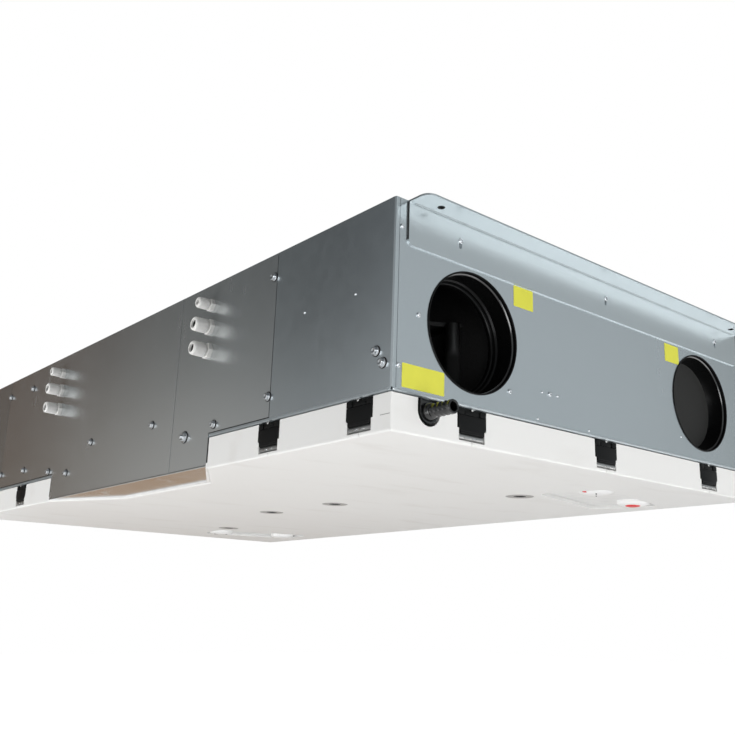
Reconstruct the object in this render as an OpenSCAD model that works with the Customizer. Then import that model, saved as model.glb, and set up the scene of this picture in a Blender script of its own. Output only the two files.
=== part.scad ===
// Ceiling air handling unit: galvanised casing lined with foam, two ducts at each end,
// a white service lid underneath held by latches, and a control box let into one long side.
// Origin at the middle of the lid's underside, +X across the duct end, +Y from the front
// end with the drain to the rear end, +Z up.

/* [Casing] */
// Width of the casing across the duct end
unit_w = 826; // [780:2:960]
// Length of the casing along the side covers
unit_l = 1496; // [1440:2:1700]
// Height of the galvanised casing above the lid
casing_h = 250; // [230:2:300]
// Thickness of the galvanised sheet
sheet_t = 1.5; // [1:0.1:2.5]
// Inside radius of the casing's upright corners
corner_in_r = 1.5; // [0.5:0.5:3]
// Inside radius of the fold along the walls' lower edges
fold_in_r = 3.5; // [1:0.5:5]
// Flat part of that fold under the foam
toe_flat = 1.5; // [1.5:0.5:4]
// Open joint between an end wall and the side walls' folded edges
wall_joint = 0.6; // [0.3:0.1:2]

/* [Lid] */
// Height of the white lid
lid_h = 47; // [42:1:60]
// Rounding of the lid's lower edges
lid_edge_r = 3; // [2:0.5:10]
// Rounding of the lid's upright corners
lid_corner_r = 2; // [1:0.5:10]
// Thickness of the seal between lid and casing
seal_t = 1; // [0.5:0.5:3]
// How far the seal stands back from the start of the folds' flat part
seal_back = 0.5; // [0:0.1:1]
// Rounding of the lower edge around the lid's cut-out
lid_cut_r = 4; // [2:0.5:8]

/* [Ducts] */
// Bore radius of a duct collar
duct_r = 80; // [60:0.5:84]
// Wall of a duct collar
duct_wall = 1.5; // [1:0.1:3]
// Length of a left bore that a duct slides into
duct_len = 42; // [30:1:60]
// Length of a right bore, which ends at a filter
filter_bore_len = 27; // [20:1:60]
// How far a collar stands out of the end wall
duct_proud = 1.5; // [0.5:0.5:4]
// Width of the stop ring at the bore's inner end
stop_w = 6; // [3:0.5:12]
// Thickness of the stop ring
stop_t = 4; // [2:0.5:8]
// Height of the duct axes above the casing's lower edge
duct_rise = 102; // [95:1:120]
// Distance of the left duct's axis from the left side
duct_left_in = 138; // [120:1:170]
// Distance of the right duct's axis from the right side
duct_right_in = 146; // [120:1:170]
// Depth of the foam chamber behind each duct
chamber_depth = 200; // [190:5:260]

/* [Inside the ducts] */
// Radius of the fan housing's drum
drum_r = 10.5; // [6:0.5:11]
// Distance of the drum from the duct's axis
drum_x = 69; // [0:1:70]
// Distance of the drum from the end wall
drum_y = 110; // [106:1:150]
// Height of the fan housing's shelf above the casing's lower edge
shelf_rise = 152; // [120:1:180]
// Thickness of the shelf
shelf_t = 6; // [3:1:12]
// Radius of the hollow in the shelf's front edge
shelf_r = 118; // [100:1:125]
// Distance of that hollow's middle from the end wall
shelf_y = 18; // [5:1:25]
// Thickness of a filter
filter_t = 46; // [20:1:60]

/* [Ceiling brackets] */
// Gap between a bracket's end and the casing's side
bracket_end = 20; // [10:1:40]
// Height of a bracket's upright leg
bracket_leg = 60; // [40:1:64]
// Depth of a bracket's level flange
bracket_flange = 37; // [30:1:60]
// Thickness of the bracket sheet
bracket_t = 2.5; // [1.5:0.1:4]
// Rounding of the flange's outer corners
bracket_corner_r = 14; // [5:1:18]
// Rounding of the leg's lower corners
leg_corner_r = 8; // [3:1:14]
// Spacing of the leg's screw slots
slot_pitch = 312; // [280:1:330]
// Shift of the slots from the bracket's middle
slot_shift = 9; // [-20:1:20]
// Width of a screw slot
slot_w = 4.5; // [3:0.5:6]
// Length of a screw slot
slot_l = 16; // [10:1:20]
// Distance of the slots' upper ends from the casing's top
slot_drop = 24; // [18:1:30]
// Radius of a hanger hole
hanger_r = 4.5; // [3:0.5:7]
// Distance of a hanger hole from the casing's side
hanger_in = 60; // [45:1:90]
// Distance of a hanger hole from the end wall
hanger_out = 18; // [14:1:24]

/* [Side covers] */
// Front edge of the gland cover, from the front end
cover_front = 260; // [240:1:300]
// Seam between the two covers, from the front end
cover_split = 540; // [500:1:600]
// Rear edge of the control cover, from the rear end
cover_rear = 150; // [110:1:200]
// Open joint around the covers
cover_joint = 1.6; // [0.5:0.1:2]
// Distance of the covers' lower edge from the casing's fold
cover_lift = 2; // [1:0.5:5]

/* [Control box] */
// Front end of the control box, from the front end of the casing
box_front = 423; // [390:1:480]
// Rear end of the control box, from the front end of the casing
box_rear = 1035; // [950:1:1060]
// Where the box's inner edge stops slanting in, from the front end
box_slant = 556; // [500:1:650]
// Where the box's inner edge starts to slant out, from the front end
box_bend = 860; // [700:1:900]
// Depth of the control box under the casing
box_depth = 78; // [40:1:90]
// Height of the control box's floor above the lid's underside
box_floor = 4; // [1:0.5:12]
// Gap between the control box and the lid's cut-out
box_gap = 4; // [1:0.5:6]

/* [Latches] */
// Width of a latch
latch_w = 50; // [36:1:60]
// Height of a latch's black lever
latch_h = 31; // [26:1:32]
// How much narrower the lever's lower end is, on each side
latch_step = 3; // [1:0.5:6]
// Height of the lever's narrow lower end
latch_end_h = 8; // [4:0.5:12]
// Height of a latch's metal foot
foot_h = 8; // [5:0.5:8]
// How far the foot stands back from the lid's face
foot_back = 1; // [0.5:0.5:4]
// Depth of a latch's pocket in the lid
latch_depth = 12; // [8:0.5:20]
// How far a latch stands out of the lid's face
latch_proud = 1.5; // [0.5:0.5:4]
// Gap around a latch in its pocket
latch_gap = 1; // [0.5:0.5:1.5]
// Height of a metal keeper between a latch and the casing's edge
keeper_h = 3; // [2.5:0.5:5]
// Width of the slit in the lid's edge under a latch
slit_w = 1; // [0.5:0.5:2]
// Width of a metal keeper
keeper_w = 30; // [20:1:34]
// How far a keeper stands out of the casing's face
keeper_proud = 2.5; // [2:0.5:4]
// Spacing of the latches on the two ends
end_pitch = 278; // [240:1:300]
// First side latch, from the front end
side_latch_a = 59; // [40:1:80]
// Second side latch, from the front end
side_latch_b = 257; // [200:1:300]
// Third side latch, from the rear end
side_latch_c = 299; // [250:1:320]
// Fourth side latch, from the rear end
side_latch_d = 101; // [60:1:140]
// Spacing of the latches on the plain side
plain_pitch = 293; // [250:1:320]

/* [Drain] */
// Distance of the drain from the left side
drain_in = 61; // [50:1:75]
// Width of the drain housing
drain_w = 30; // [26:1:36]
// Depth of the drain housing below the casing's lower edge
drain_drop = 30.5; // [28:0.5:36]
// How far the drain housing reaches into the lid
drain_back = 22; // [12:1:40]
// How far the drain housing stands out of the end wall
drain_out = 1; // [0.5:0.5:6]
// Radius of the round base of the hose barb
barb_base_r = 12; // [11:0.5:13]
// Length of the round base of the hose barb
barb_base_l = 6; // [3:0.5:10]
// Gap around the drain housing in the lid
drain_gap = 3.5; // [1:0.5:5]
// Outer radius of the hose barb at its ribs
barb_r = 9; // [8:0.5:10]
// Height of a rib on the hose barb
barb_rib = 1.8; // [0.5:0.1:2]
// Length of one rib
barb_step = 6; // [4:0.5:8]
// Number of ribs
barb_count = 6; // [3:1:9]
// Radius of the water way
barb_bore = 6; // [3:0.5:6]

/* [Cable glands] */
// Front column of glands, from the front end
gland_front = 442; // [420:1:480]
// Rear column of glands, from the front end
gland_rear = 1036; // [980:1:1100]
// Height of the lowest gland above the casing's lower edge
gland_low = 139; // [130:1:150]
// Spacing from the lowest to the middle gland
gland_pitch_low = 39; // [32:1:44]
// Spacing from the middle to the highest gland
gland_pitch_high = 36; // [32:1:40]
// Radius of a large gland's cap
gland_cap_r = 11.5; // [9:0.5:13]
// Radius of the small gland's cap
gland_small_cap_r = 9; // [7:0.5:11]
// Wall of a gland around its cable bore
gland_wall = 4.5; // [3:0.5:5]
// Length of a large gland outside the cover
gland_len = 31; // [28:1:44]
// Length of the small gland outside the cover
gland_small_len = 27; // [26:1:40]
// Length of a gland's hexagon
gland_hex = 7; // [5:0.5:8]
// Radius of a gland's hexagon over the radius of its cap
gland_hex_ratio = 1.15; // [1.05:0.01:1.2]
// Length of the neck between a gland's hexagon and its cap
gland_neck = 2; // [1:0.5:4]
// How far the neck stands back from the cap's face
gland_neck_in = 1; // [0.5:0.5:2]
// Rounding of a gland's cap
gland_round = 4; // [2:0.5:4]
// Depth of a gland's cable bore
gland_bore_len = 22; // [16:1:24]

/* [Lid fittings] */
// Radius of a lock disc
disc_r = 25; // [18:0.5:30]
// Thickness of a lock disc
disc_t = 4; // [2:0.5:8]
// How deep a lock disc sits in the lid
disc_sink = 2; // [1:0.5:6]
// Radius of the key hole in a lock disc
disc_hole_r = 6; // [3:0.5:10]
// Place of the two middle discs across the unit, from its middle
disc_mid_x = -24; // [-80:1:40]
// Place halfway between the two middle discs along the unit, from its middle
disc_mid_y = -24; // [-80:1:80]
// Spacing of the two middle discs
disc_mid_pitch = 217; // [160:1:280]
// Place of the front disc across the unit, from its middle
disc_front_x = 114; // [60:1:114]
// Distance of the front disc from the middle of the unit
disc_front_y = 480; // [420:1:484]
// Place of the rear disc across the unit, from its middle
disc_rear_x = 103; // [60:1:112]
// Distance of the rear disc from the middle of the unit
disc_rear_y = 467; // [420:1:484]
// Length of a filter hatch
hatch_w = 236; // [200:2:240]
// Width of a filter hatch
hatch_l = 124; // [110:2:126]
// Angle that a filter hatch is turned by
hatch_turn = 14; // [8:1:16]
// Distance of a filter hatch's middle from the nearest end
hatch_end = 191; // [188:1:204]
// Distance of a filter hatch's middle from the plain side
hatch_side = 174; // [165:1:190]
// How deep a filter hatch sits in the lid
hatch_sink = 7; // [4:0.5:12]
// Thickness of a filter hatch
hatch_t = 5; // [3:0.5:8]
// Rounding of a filter hatch's corners
hatch_corner_r = 18; // [6:1:30]
// Gap around a filter hatch
hatch_gap = 1; // [0.5:0.5:3]
// Radius of a hatch's turn knob
knob_r = 30; // [20:1:32]
// Spacing of a hatch's two knobs
knob_pitch = 170; // [130:1:172]
// Distance of the knobs from the hatch's outer long edge
knob_edge = 33; // [33:1:50]
// How deep a knob's grip sits in the lid
knob_sink = 1; // [0.5:0.5:2]
// Height of a knob's grip
grip_h = 3; // [1:0.5:3]
// Width of a knob's grip
grip_w = 12; // [8:1:18]

/* [Hidden] */
$fn = 64;
eps = 1;
fit_gap = 0.2;
edge_ease = 1.05;
corner_r = corner_in_r + sheet_t;
fold_r = fold_in_r + sheet_t;
toe_w = fold_r + toe_flat;
seal_inset = fold_r + seal_back;
seat_z = lid_h + seal_t;
top_z = seat_z + casing_h;
inner_top = top_z - sheet_t;
duct_z = seat_z + duct_rise;
half_w = unit_w / 2;
half_l = unit_l / 2;
collar_r = duct_r + duct_wall;
chamber_half = collar_r + fit_gap;
foam_low = seat_z + fold_r;
foam_end = half_l - sheet_t - chamber_depth;
cover_low = seat_z + fold_r + cover_lift;
left_duct_x = -half_w + duct_left_in;
right_duct_x = half_w - duct_right_in;
filter_front = filter_bore_len - duct_proud + stop_t;
shelf_z = seat_z + shelf_rise;
latch_top = seat_z - keeper_h;
latch_bottom = latch_top - latch_h;
foot_bottom = latch_bottom - foot_h;
pocket_bottom = foot_bottom - latch_gap;
hatch_x = half_w - hatch_side;
hatch_y = half_l - hatch_end;
drain_x = -half_w + drain_in;
disc_places = [
    [disc_mid_x, disc_mid_y + disc_mid_pitch / 2],
    [disc_mid_x, disc_mid_y - disc_mid_pitch / 2],
    [disc_rear_x, disc_rear_y],
    [disc_front_x, -disc_front_y]
];
end_latches = [for (i = [-1:1]) i * end_pitch];
left_latch_places = [
    -half_l + side_latch_a,
    -half_l + side_latch_b,
    half_l - side_latch_c,
    half_l - side_latch_d
];
right_latch_places = [for (i = [-2:2]) i * plain_pitch];
gland_middle = gland_low + gland_pitch_low;
gland_rises = [gland_low, gland_middle, gland_middle + gland_pitch_high];
box_front_y = -half_l + box_front;
box_rear_y = -half_l + box_rear;
box_slant_y = -half_l + box_slant;
box_bend_y = -half_l + box_bend;
box_inner_x = -half_w + box_depth;
// Corners of the lid's cut-out for the control box, from front to rear
cut_front = [-half_w, box_front_y - box_gap];
cut_slant = [box_inner_x + box_gap, box_slant_y - box_gap];
cut_bend = [box_inner_x + box_gap, box_bend_y + box_gap];
cut_rear = [-half_w, box_rear_y + box_gap];
// Edges of the cut-out, each with how far its rounding runs on past its two ends
slant_run = lid_cut_r * tan(atan2(box_depth, box_slant - box_front) / 2);
bend_run = lid_cut_r * tan(atan2(box_depth, box_rear - box_bend) / 2);
cut_edges = [
    [cut_slant, cut_front, slant_run, 2 * lid_cut_r],
    [cut_bend, cut_slant, bend_run, slant_run],
    [cut_rear, cut_bend, 2 * lid_cut_r, bend_run]
];
gland_radii = [gland_cap_r, gland_cap_r, gland_small_cap_r];
gland_lengths = [gland_len, gland_len, gland_small_len];

steel = [0.66, 0.68, 0.7];
black = [0.06, 0.06, 0.065];
white = [0.92, 0.92, 0.9];
grey = [0.4, 0.4, 0.4];

// Place a piece on one of the four sides, with its own -Y pointing out of the casing
module on_front(x) {
    translate([x, -half_l, 0]) children();
}

module on_rear(x) {
    translate([x, half_l, 0]) rotate(180) children();
}

module on_left(y) {
    translate([-half_w, y, 0]) rotate(-90) children();
}

module on_right(y) {
    translate([half_w, y, 0]) rotate(90) children();
}

// A block given by its lowest and highest corners
module block(low, high) {
    translate(low) cube(high - low);
}

// A rectangle about the origin with round corners
module round_rect(w, l, r) {
    square([w - 2 * r, l], center = true);
    square([w, l - 2 * r], center = true);
    for (x = [-1, 1], y = [-1, 1]) translate([x * (w / 2 - r), y * (l / 2 - r)]) circle(r);
}

// Galvanised casing
module top_panel() {
    color(steel) translate([0, 0, inner_top]) linear_extrude(sheet_t) round_rect(unit_w, unit_l, corner_r);
}

// Section of the inward fold along a wall's lower edge: distance inward, height
module fold_section() {
    intersection() {
        square(fold_r);
        translate([fold_r, fold_r]) difference() {
            circle(fold_r);
            circle(fold_in_r);
        }
    }
    translate([fold_r, 0]) square([toe_flat, sheet_t]);
}

module wall_fold(length) {
    translate([-length / 2, 0, seat_z]) rotate([90, 0, 90]) linear_extrude(length) fold_section();
}

// Plan of a side wall with its two ends folded round the corners
module side_wall_plan() {
    deep = 4 * toe_w;
    intersection() {
        translate([-half_l, 0]) square([unit_l, toe_w]);
        translate([0, deep / 2]) difference() {
            round_rect(unit_l, deep, corner_r);
            round_rect(unit_l - 2 * sheet_t, deep - 2 * sheet_t, corner_in_r);
        }
    }
}

module side_wall() {
    turned = toe_w - corner_r;
    translate([0, 0, seat_z + fold_r]) linear_extrude(inner_top - seat_z - fold_r) side_wall_plan();
    wall_fold(unit_l - 2 * corner_r);
    for (side = [-1, 1])
        translate([side * half_l, corner_r + turned / 2, 0]) rotate(side * 90) wall_fold(turned);
}

module end_wall() {
    span = unit_w - 2 * (toe_w + wall_joint);
    difference() {
        union() {
            block([-span / 2, 0, seat_z + fold_r], [span / 2, sheet_t, inner_top]);
            wall_fold(span);
        }
        for (x = [left_duct_x, right_duct_x])
            translate([x, -eps, duct_z]) rotate([-90, 0, 0]) cylinder(r = chamber_half, h = sheet_t + 2 * eps);
    }
}

module front_end_wall() {
    color(steel) on_front(0) end_wall();
}

module rear_end_wall() {
    color(steel) mirror([0, 1, 0]) on_front(0) end_wall();
}

// The left wall is open behind the covers, and notched where their flaps hang down over it
module left_side_wall() {
    deep = sheet_t + fit_gap;
    low = cover_low - cover_joint;
    color(steel) difference() {
        on_left(0) side_wall();
        block(
            [-half_w - eps, -half_l + cover_front - cover_joint, low],
            [-half_w + deep, half_l - cover_rear + cover_joint, top_z]
        );
        block(
            [-half_w - eps, box_front_y - cover_joint, seat_z - eps],
            [-half_w + deep, box_rear_y + cover_joint, low + eps]
        );
    }
}

module right_side_wall() {
    color(steel) on_right(0) side_wall();
}

// A cover sheet in the left side: outline in (distance from the front end, height)
module side_sheet(outline) {
    translate([-half_w + sheet_t, -half_l, 0]) rotate([90, 0, -90]) mirror([1, 0, 0])
        linear_extrude(sheet_t) polygon(outline);
}

module gland_cover() {
    color(steel) side_sheet([
        [cover_front, cover_low],
        [box_front, cover_low],
        [box_front, box_floor],
        [cover_split - cover_joint, box_floor],
        [cover_split - cover_joint, inner_top],
        [cover_front, inner_top]
    ]);
}

module control_cover() {
    color(steel) side_sheet([
        [cover_split, box_floor],
        [box_rear, box_floor],
        [box_rear, cover_low],
        [unit_l - cover_rear, cover_low],
        [unit_l - cover_rear, inner_top],
        [cover_split, inner_top]
    ]);
}

// Control box behind the covers' flaps, with slanted ends
module control_box() {
    start = -half_w + sheet_t;
    color(steel) translate([0, 0, box_floor]) linear_extrude(seat_z - box_floor) polygon([
        [start, box_front_y],
        [box_inner_x, box_slant_y],
        [box_inner_x, box_bend_y],
        [start, box_rear_y]
    ]);
}

// Plan of the cut-out that the lid and its seal leave for the control box
module box_cut_plan() {
    polygon([
        [-half_w - eps, cut_front[1]],
        cut_front,
        cut_slant,
        cut_bend,
        cut_rear,
        [-half_w - eps, cut_rear[1]]
    ]);
}

// Ceiling brackets: an upright leg on the end wall and a level flange with hanger holes
module leg_outline(span) {
    translate([0, bracket_leg / 2]) round_rect(span, bracket_leg, leg_corner_r);
    translate([-span / 2, bracket_leg / 2]) square([span, bracket_leg / 2]);
}

module flange_outline(span) {
    translate([0, -bracket_flange / 2]) round_rect(span, bracket_flange, bracket_corner_r);
    translate([-span / 2, -bracket_flange / 2]) square([span, bracket_flange / 2]);
}

module screw_slot() {
    for (v = [slot_w / 2, slot_l - slot_w / 2]) translate([0, -v]) circle(d = slot_w);
    translate([-slot_w / 2, slot_w / 2 - slot_l]) square([slot_w, slot_l - slot_w]);
}

module ceiling_bracket() {
    span = unit_w - 2 * bracket_end;
    difference() {
        union() {
            translate([0, 0, top_z - bracket_leg]) rotate([90, 0, 0])
                linear_extrude(bracket_t) leg_outline(span);
            translate([0, 0, top_z - bracket_t]) linear_extrude(bracket_t) flange_outline(span);
        }
        for (side = [-1, 1])
            translate([side * (half_w - hanger_in), -hanger_out, top_z - bracket_t - eps])
                cylinder(r = hanger_r, h = bracket_t + 2 * eps);
        for (i = [-1:1])
            translate([slot_shift + i * slot_pitch, eps, top_z - slot_drop]) rotate([90, 0, 0])
                linear_extrude(bracket_t + 2 * eps) screw_slot();
    }
}

module front_ceiling_bracket() {
    color(steel) on_front(0) ceiling_bracket();
}

module rear_ceiling_bracket() {
    color(steel) on_rear(0) ceiling_bracket();
}

// Duct collar: a plain bore for the duct, ending in a stop ring
module collar(bore_len) {
    translate([0, -duct_proud, duct_z]) rotate([-90, 0, 0]) rotate_extrude() union() {
        translate([duct_r, 0]) square([duct_wall, bore_len]);
        translate([duct_r - stop_w, bore_len]) square([stop_w + duct_wall, stop_t]);
    }
}

module front_left_collar() {
    color(black) on_front(left_duct_x) collar(duct_len);
}

module front_right_collar() {
    color(black) on_front(right_duct_x) collar(filter_bore_len);
}

module rear_left_collar() {
    color(black) on_rear(left_duct_x) collar(duct_len);
}

module rear_right_collar() {
    color(black) on_rear(right_duct_x) collar(filter_bore_len);
}

// Foam lining: one block in the middle, and three at each end that leave a chamber behind each duct
module foam_middle() {
    color(black) block([-half_w + sheet_t, -foam_end, foam_low], [half_w - sheet_t, foam_end, inner_top]);
}

module end_foam(low_x, high_x) {
    block([low_x, sheet_t, foam_low], [high_x, sheet_t + chamber_depth, inner_top]);
}

module foam_left() {
    end_foam(-half_w + sheet_t, left_duct_x - chamber_half);
}

module foam_center() {
    end_foam(left_duct_x + chamber_half, right_duct_x - chamber_half);
}

module foam_right() {
    end_foam(right_duct_x + chamber_half, half_w - sheet_t);
}

module foam_front_left() {
    color(black) translate([0, -half_l, 0]) foam_left();
}

module foam_front_center() {
    color(black) translate([0, -half_l, 0]) foam_center();
}

module foam_front_right() {
    color(black) translate([0, -half_l, 0]) foam_right();
}

module foam_rear_left() {
    color(black) mirror([0, 1, 0]) translate([0, -half_l, 0]) foam_left();
}

module foam_rear_center() {
    color(black) mirror([0, 1, 0]) translate([0, -half_l, 0]) foam_center();
}

module foam_rear_right() {
    color(black) mirror([0, 1, 0]) translate([0, -half_l, 0]) foam_right();
}

// Fan housing that shows through a left duct: a shelf with a hollow front edge over a drum
module fan_housing() {
    back = sheet_t + chamber_depth;
    translate([drum_x, drum_y, seat_z]) cylinder(r = drum_r, h = shelf_rise + shelf_t / 2);
    difference() {
        block([-chamber_half, shelf_y, shelf_z], [chamber_half, back, shelf_z + shelf_t]);
        translate([0, shelf_y, shelf_z - eps]) cylinder(r = shelf_r, h = shelf_t + 2 * eps);
    }
}

module front_fan_housing() {
    color(black) on_front(left_duct_x) fan_housing();
}

module rear_fan_housing() {
    color(black) on_rear(left_duct_x) fan_housing();
}

// Filter that stands across the chamber behind a right duct
module filter() {
    block([-chamber_half, filter_front, seat_z], [chamber_half, filter_front + filter_t, inner_top]);
}

module front_filter() {
    color(grey) on_front(right_duct_x) filter();
}

module rear_filter() {
    color(grey) on_rear(right_duct_x) filter();
}

// Seal sheet between lid and casing
module lid_seal() {
    color(black) translate([0, 0, lid_h]) linear_extrude(seal_t) difference() {
        square([unit_w - 2 * seal_inset, unit_l - 2 * seal_inset], center = true);
        box_cut_plan();
        translate([drain_x, -half_l])
            square([drain_w + 2 * drain_gap, 2 * (drain_back + drain_gap)], center = true);
    }
}

// Cross-section of the lid with its lower corners rounded
module lid_section(w) {
    translate([-w / 2, lid_edge_r]) square([w, lid_h - lid_edge_r]);
    translate([-w / 2 + lid_edge_r, 0]) square([w - 2 * lid_edge_r, lid_edge_r]);
    for (side = [-1, 1]) translate([side * (w / 2 - lid_edge_r), lid_edge_r]) circle(lid_edge_r);
}

module lid_blank() {
    intersection() {
        translate([0, half_l, 0]) rotate([90, 0, 0]) linear_extrude(unit_l) lid_section(unit_w);
        translate([-half_w, 0, 0]) rotate([90, 0, 90]) linear_extrude(unit_w) lid_section(unit_l);
        linear_extrude(lid_h) round_rect(unit_w, unit_l, lid_corner_r);
    }
}

// Pocket that takes a latch, narrower below, with a slit down through the lid's edge
module latch_pocket() {
    wide = latch_w / 2 + latch_gap;
    narrow = wide - latch_step;
    block([-wide, -eps, latch_bottom + latch_end_h - latch_gap], [wide, latch_depth, lid_h + eps]);
    block([-narrow, -eps, pocket_bottom], [narrow, latch_depth, lid_h + eps]);
    block([-slit_w / 2, -eps, -eps], [slit_w / 2, lid_edge_r, pocket_bottom + eps]);
}

// Stand on an edge of the lid's cut-out: X along the edge, +Y into the lid
module along_edge(a, b) {
    translate([a[0], a[1], 0]) rotate(atan2(b[1] - a[1], b[0] - a[0])) children();
}

// Cutter that rounds the lid's lower edge along the cut-out
module edge_cutter(length, before, after) {
    translate([-before, 0, 0]) rotate([90, 0, 90]) linear_extrude(before + length + after) difference() {
        translate([-eps, -eps]) square(lid_cut_r + eps);
        translate([lid_cut_r, lid_cut_r]) circle(lid_cut_r * edge_ease);
    }
}

module each_latch_place() {
    for (x = end_latches) on_front(x) children();
    for (x = end_latches) on_rear(x) children();
    for (y = left_latch_places) on_left(y) children();
    for (y = right_latch_places) on_right(y) children();
}

// The drain housing's outline seen from the front, round below
module drain_outline(gap) {
    wide = drain_w + 2 * gap;
    round_z = seat_z - drain_drop + drain_w / 2;
    translate([0, round_z]) intersection() {
        circle(d = wide);
        translate([-wide / 2, -wide]) square(wide);
    }
    translate([-wide / 2, round_z]) square([wide, seat_z - round_z]);
}

// Place of a filter hatch in the lid's underside; the rear one mirrors the front one
module at_front_hatch() {
    translate([hatch_x, -hatch_y, 0]) rotate(hatch_turn) children();
}

module hatch_outline(gap) {
    round_rect(hatch_w + 2 * gap, hatch_l + 2 * gap, hatch_corner_r + gap);
}

module lid_cuts() {
    translate([0, 0, -eps]) linear_extrude(lid_h + 2 * eps) box_cut_plan();
    for (e = cut_edges) along_edge(e[0], e[1]) edge_cutter(norm(e[1] - e[0]), e[2], e[3]);
    each_latch_place() latch_pocket();
    translate([drain_x, -half_l + drain_back + drain_gap, 0]) rotate([90, 0, 0])
        linear_extrude(drain_back + drain_gap + eps) drain_outline(drain_gap);
    for (place = disc_places)
        translate([place[0], place[1], -eps]) cylinder(r = disc_r + fit_gap, h = disc_sink + disc_t + eps);
    for (flip = [0, 1])
        mirror([0, flip, 0]) at_front_hatch() translate([0, 0, -eps])
            linear_extrude(hatch_sink + hatch_t + eps) hatch_outline(hatch_gap);
}

module lid() {
    color(white) difference() {
        lid_blank();
        lid_cuts();
    }
}

// Round lock discs in the lid's underside, each with a key hole
module lid_discs() {
    color(grey) for (place = disc_places)
        translate([place[0], place[1], disc_sink]) difference() {
            cylinder(r = disc_r, h = disc_t);
            translate([0, 0, -eps]) cylinder(r = disc_hole_r, h = disc_t / 2 + eps);
        }
}

// Filter hatch: a round-cornered plate sunk into the lid
module filter_hatch() {
    translate([0, 0, hatch_sink]) linear_extrude(hatch_t) hatch_outline(0);
}

module front_filter_hatch() {
    color(white) at_front_hatch() filter_hatch();
}

module rear_filter_hatch() {
    color(white) mirror([0, 1, 0]) at_front_hatch() filter_hatch();
}

// Two turn knobs on a hatch, each a round plate with a grip across it
module hatch_knobs() {
    for (side = [-1, 1])
        translate([side * knob_pitch / 2, knob_edge - hatch_l / 2, 0]) {
            translate([0, 0, knob_sink + grip_h]) cylinder(r = knob_r, h = hatch_sink - knob_sink - grip_h);
            translate([0, 0, knob_sink]) linear_extrude(grip_h)
                round_rect(2 * knob_r - grip_w / 2, grip_w, grip_w / 3);
        }
}

module front_hatch_knobs() {
    color(white) at_front_hatch() hatch_knobs();
}

module rear_hatch_knobs() {
    color(white) mirror([0, 1, 0]) at_front_hatch() hatch_knobs();
}

// Latch: a black lever in its pocket, narrower at its lower end
module latch() {
    low = latch_w / 2 - latch_step;
    block([-latch_w / 2, -latch_proud, latch_bottom + latch_end_h], [latch_w / 2, latch_depth, latch_top]);
    block([-low, -latch_proud, latch_bottom], [low, latch_depth, latch_bottom + latch_end_h]);
}

// Metal of a latch: the keeper under the casing's edge and the foot below the lever
module latch_plate() {
    low = latch_w / 2 - latch_step;
    block([-keeper_w / 2, -keeper_proud, latch_top], [keeper_w / 2, seal_inset, seat_z]);
    block([-low, foot_back, foot_bottom], [low, latch_depth, latch_bottom]);
}

module front_latches() {
    color(black) for (x = end_latches) on_front(x) latch();
}

module rear_latches() {
    color(black) for (x = end_latches) on_rear(x) latch();
}

module left_latches() {
    color(black) for (y = left_latch_places) on_left(y) latch();
}

module right_latches() {
    color(black) for (y = right_latch_places) on_right(y) latch();
}

module front_latch_plates() {
    color(steel) for (x = end_latches) on_front(x) latch_plate();
}

module rear_latch_plates() {
    color(steel) for (x = end_latches) on_rear(x) latch_plate();
}

module left_latch_plates() {
    color(steel) for (y = left_latch_places) on_left(y) latch_plate();
}

module right_latch_plates() {
    color(steel) for (y = right_latch_places) on_right(y) latch_plate();
}

// Drain: a housing let into the lid and a ribbed hose barb pointing out of the end
module drain_elbow() {
    barb_z = seat_z - drain_drop + drain_w / 2;
    barb_start = drain_out + barb_base_l;
    barb_len = barb_count * barb_step;
    point_out = [90, 0, 0];
    color(black) on_front(drain_x) difference() {
        union() {
            translate([0, drain_back, 0]) rotate(point_out)
                linear_extrude(drain_back + drain_out) drain_outline(0);
            translate([0, -drain_out, barb_z]) rotate(point_out) cylinder(r = barb_base_r, h = barb_base_l);
            translate([0, -barb_start, barb_z]) rotate(point_out) {
                cylinder(r = barb_r - barb_rib, h = barb_len);
                for (i = [0:barb_count - 1])
                    translate([0, 0, i * barb_step])
                        cylinder(r1 = barb_r, r2 = barb_r - barb_rib, h = barb_step - barb_rib);
            }
        }
        translate([0, 0, barb_z]) rotate(point_out) cylinder(r = barb_bore, h = barb_start + barb_len + eps);
    }
}

// Cable gland on the cover: hexagon, neck and round cap with a cable bore, pointing out
module gland_body(cap_r, length) {
    cap_len = length - gland_hex - gland_neck;
    cylinder(r = cap_r * gland_hex_ratio, h = gland_hex, $fn = 6);
    translate([0, 0, gland_hex]) cylinder(r = cap_r - gland_neck_in, h = gland_neck);
    translate([0, 0, gland_hex + gland_neck]) rotate_extrude() {
        square([cap_r, cap_len - gland_round]);
        square([cap_r - gland_round, cap_len]);
        translate([cap_r - gland_round, cap_len - gland_round]) intersection() {
            circle(gland_round);
            square(gland_round);
        }
    }
}

module gland(cap_r, length) {
    rotate([90, 0, 0]) difference() {
        gland_body(cap_r, length);
        translate([0, 0, length - gland_bore_len]) cylinder(r = cap_r - gland_wall, h = gland_bore_len + eps);
    }
}

module gland_column(y) {
    color(white) for (i = [0:2])
        on_left(-half_l + y) translate([0, 0, seat_z + gland_rises[i]])
            gland(gland_radii[i], gland_lengths[i]);
}

module front_cable_glands() {
    gland_column(gland_front);
}

module rear_cable_glands() {
    gland_column(gland_rear);
}

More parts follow.
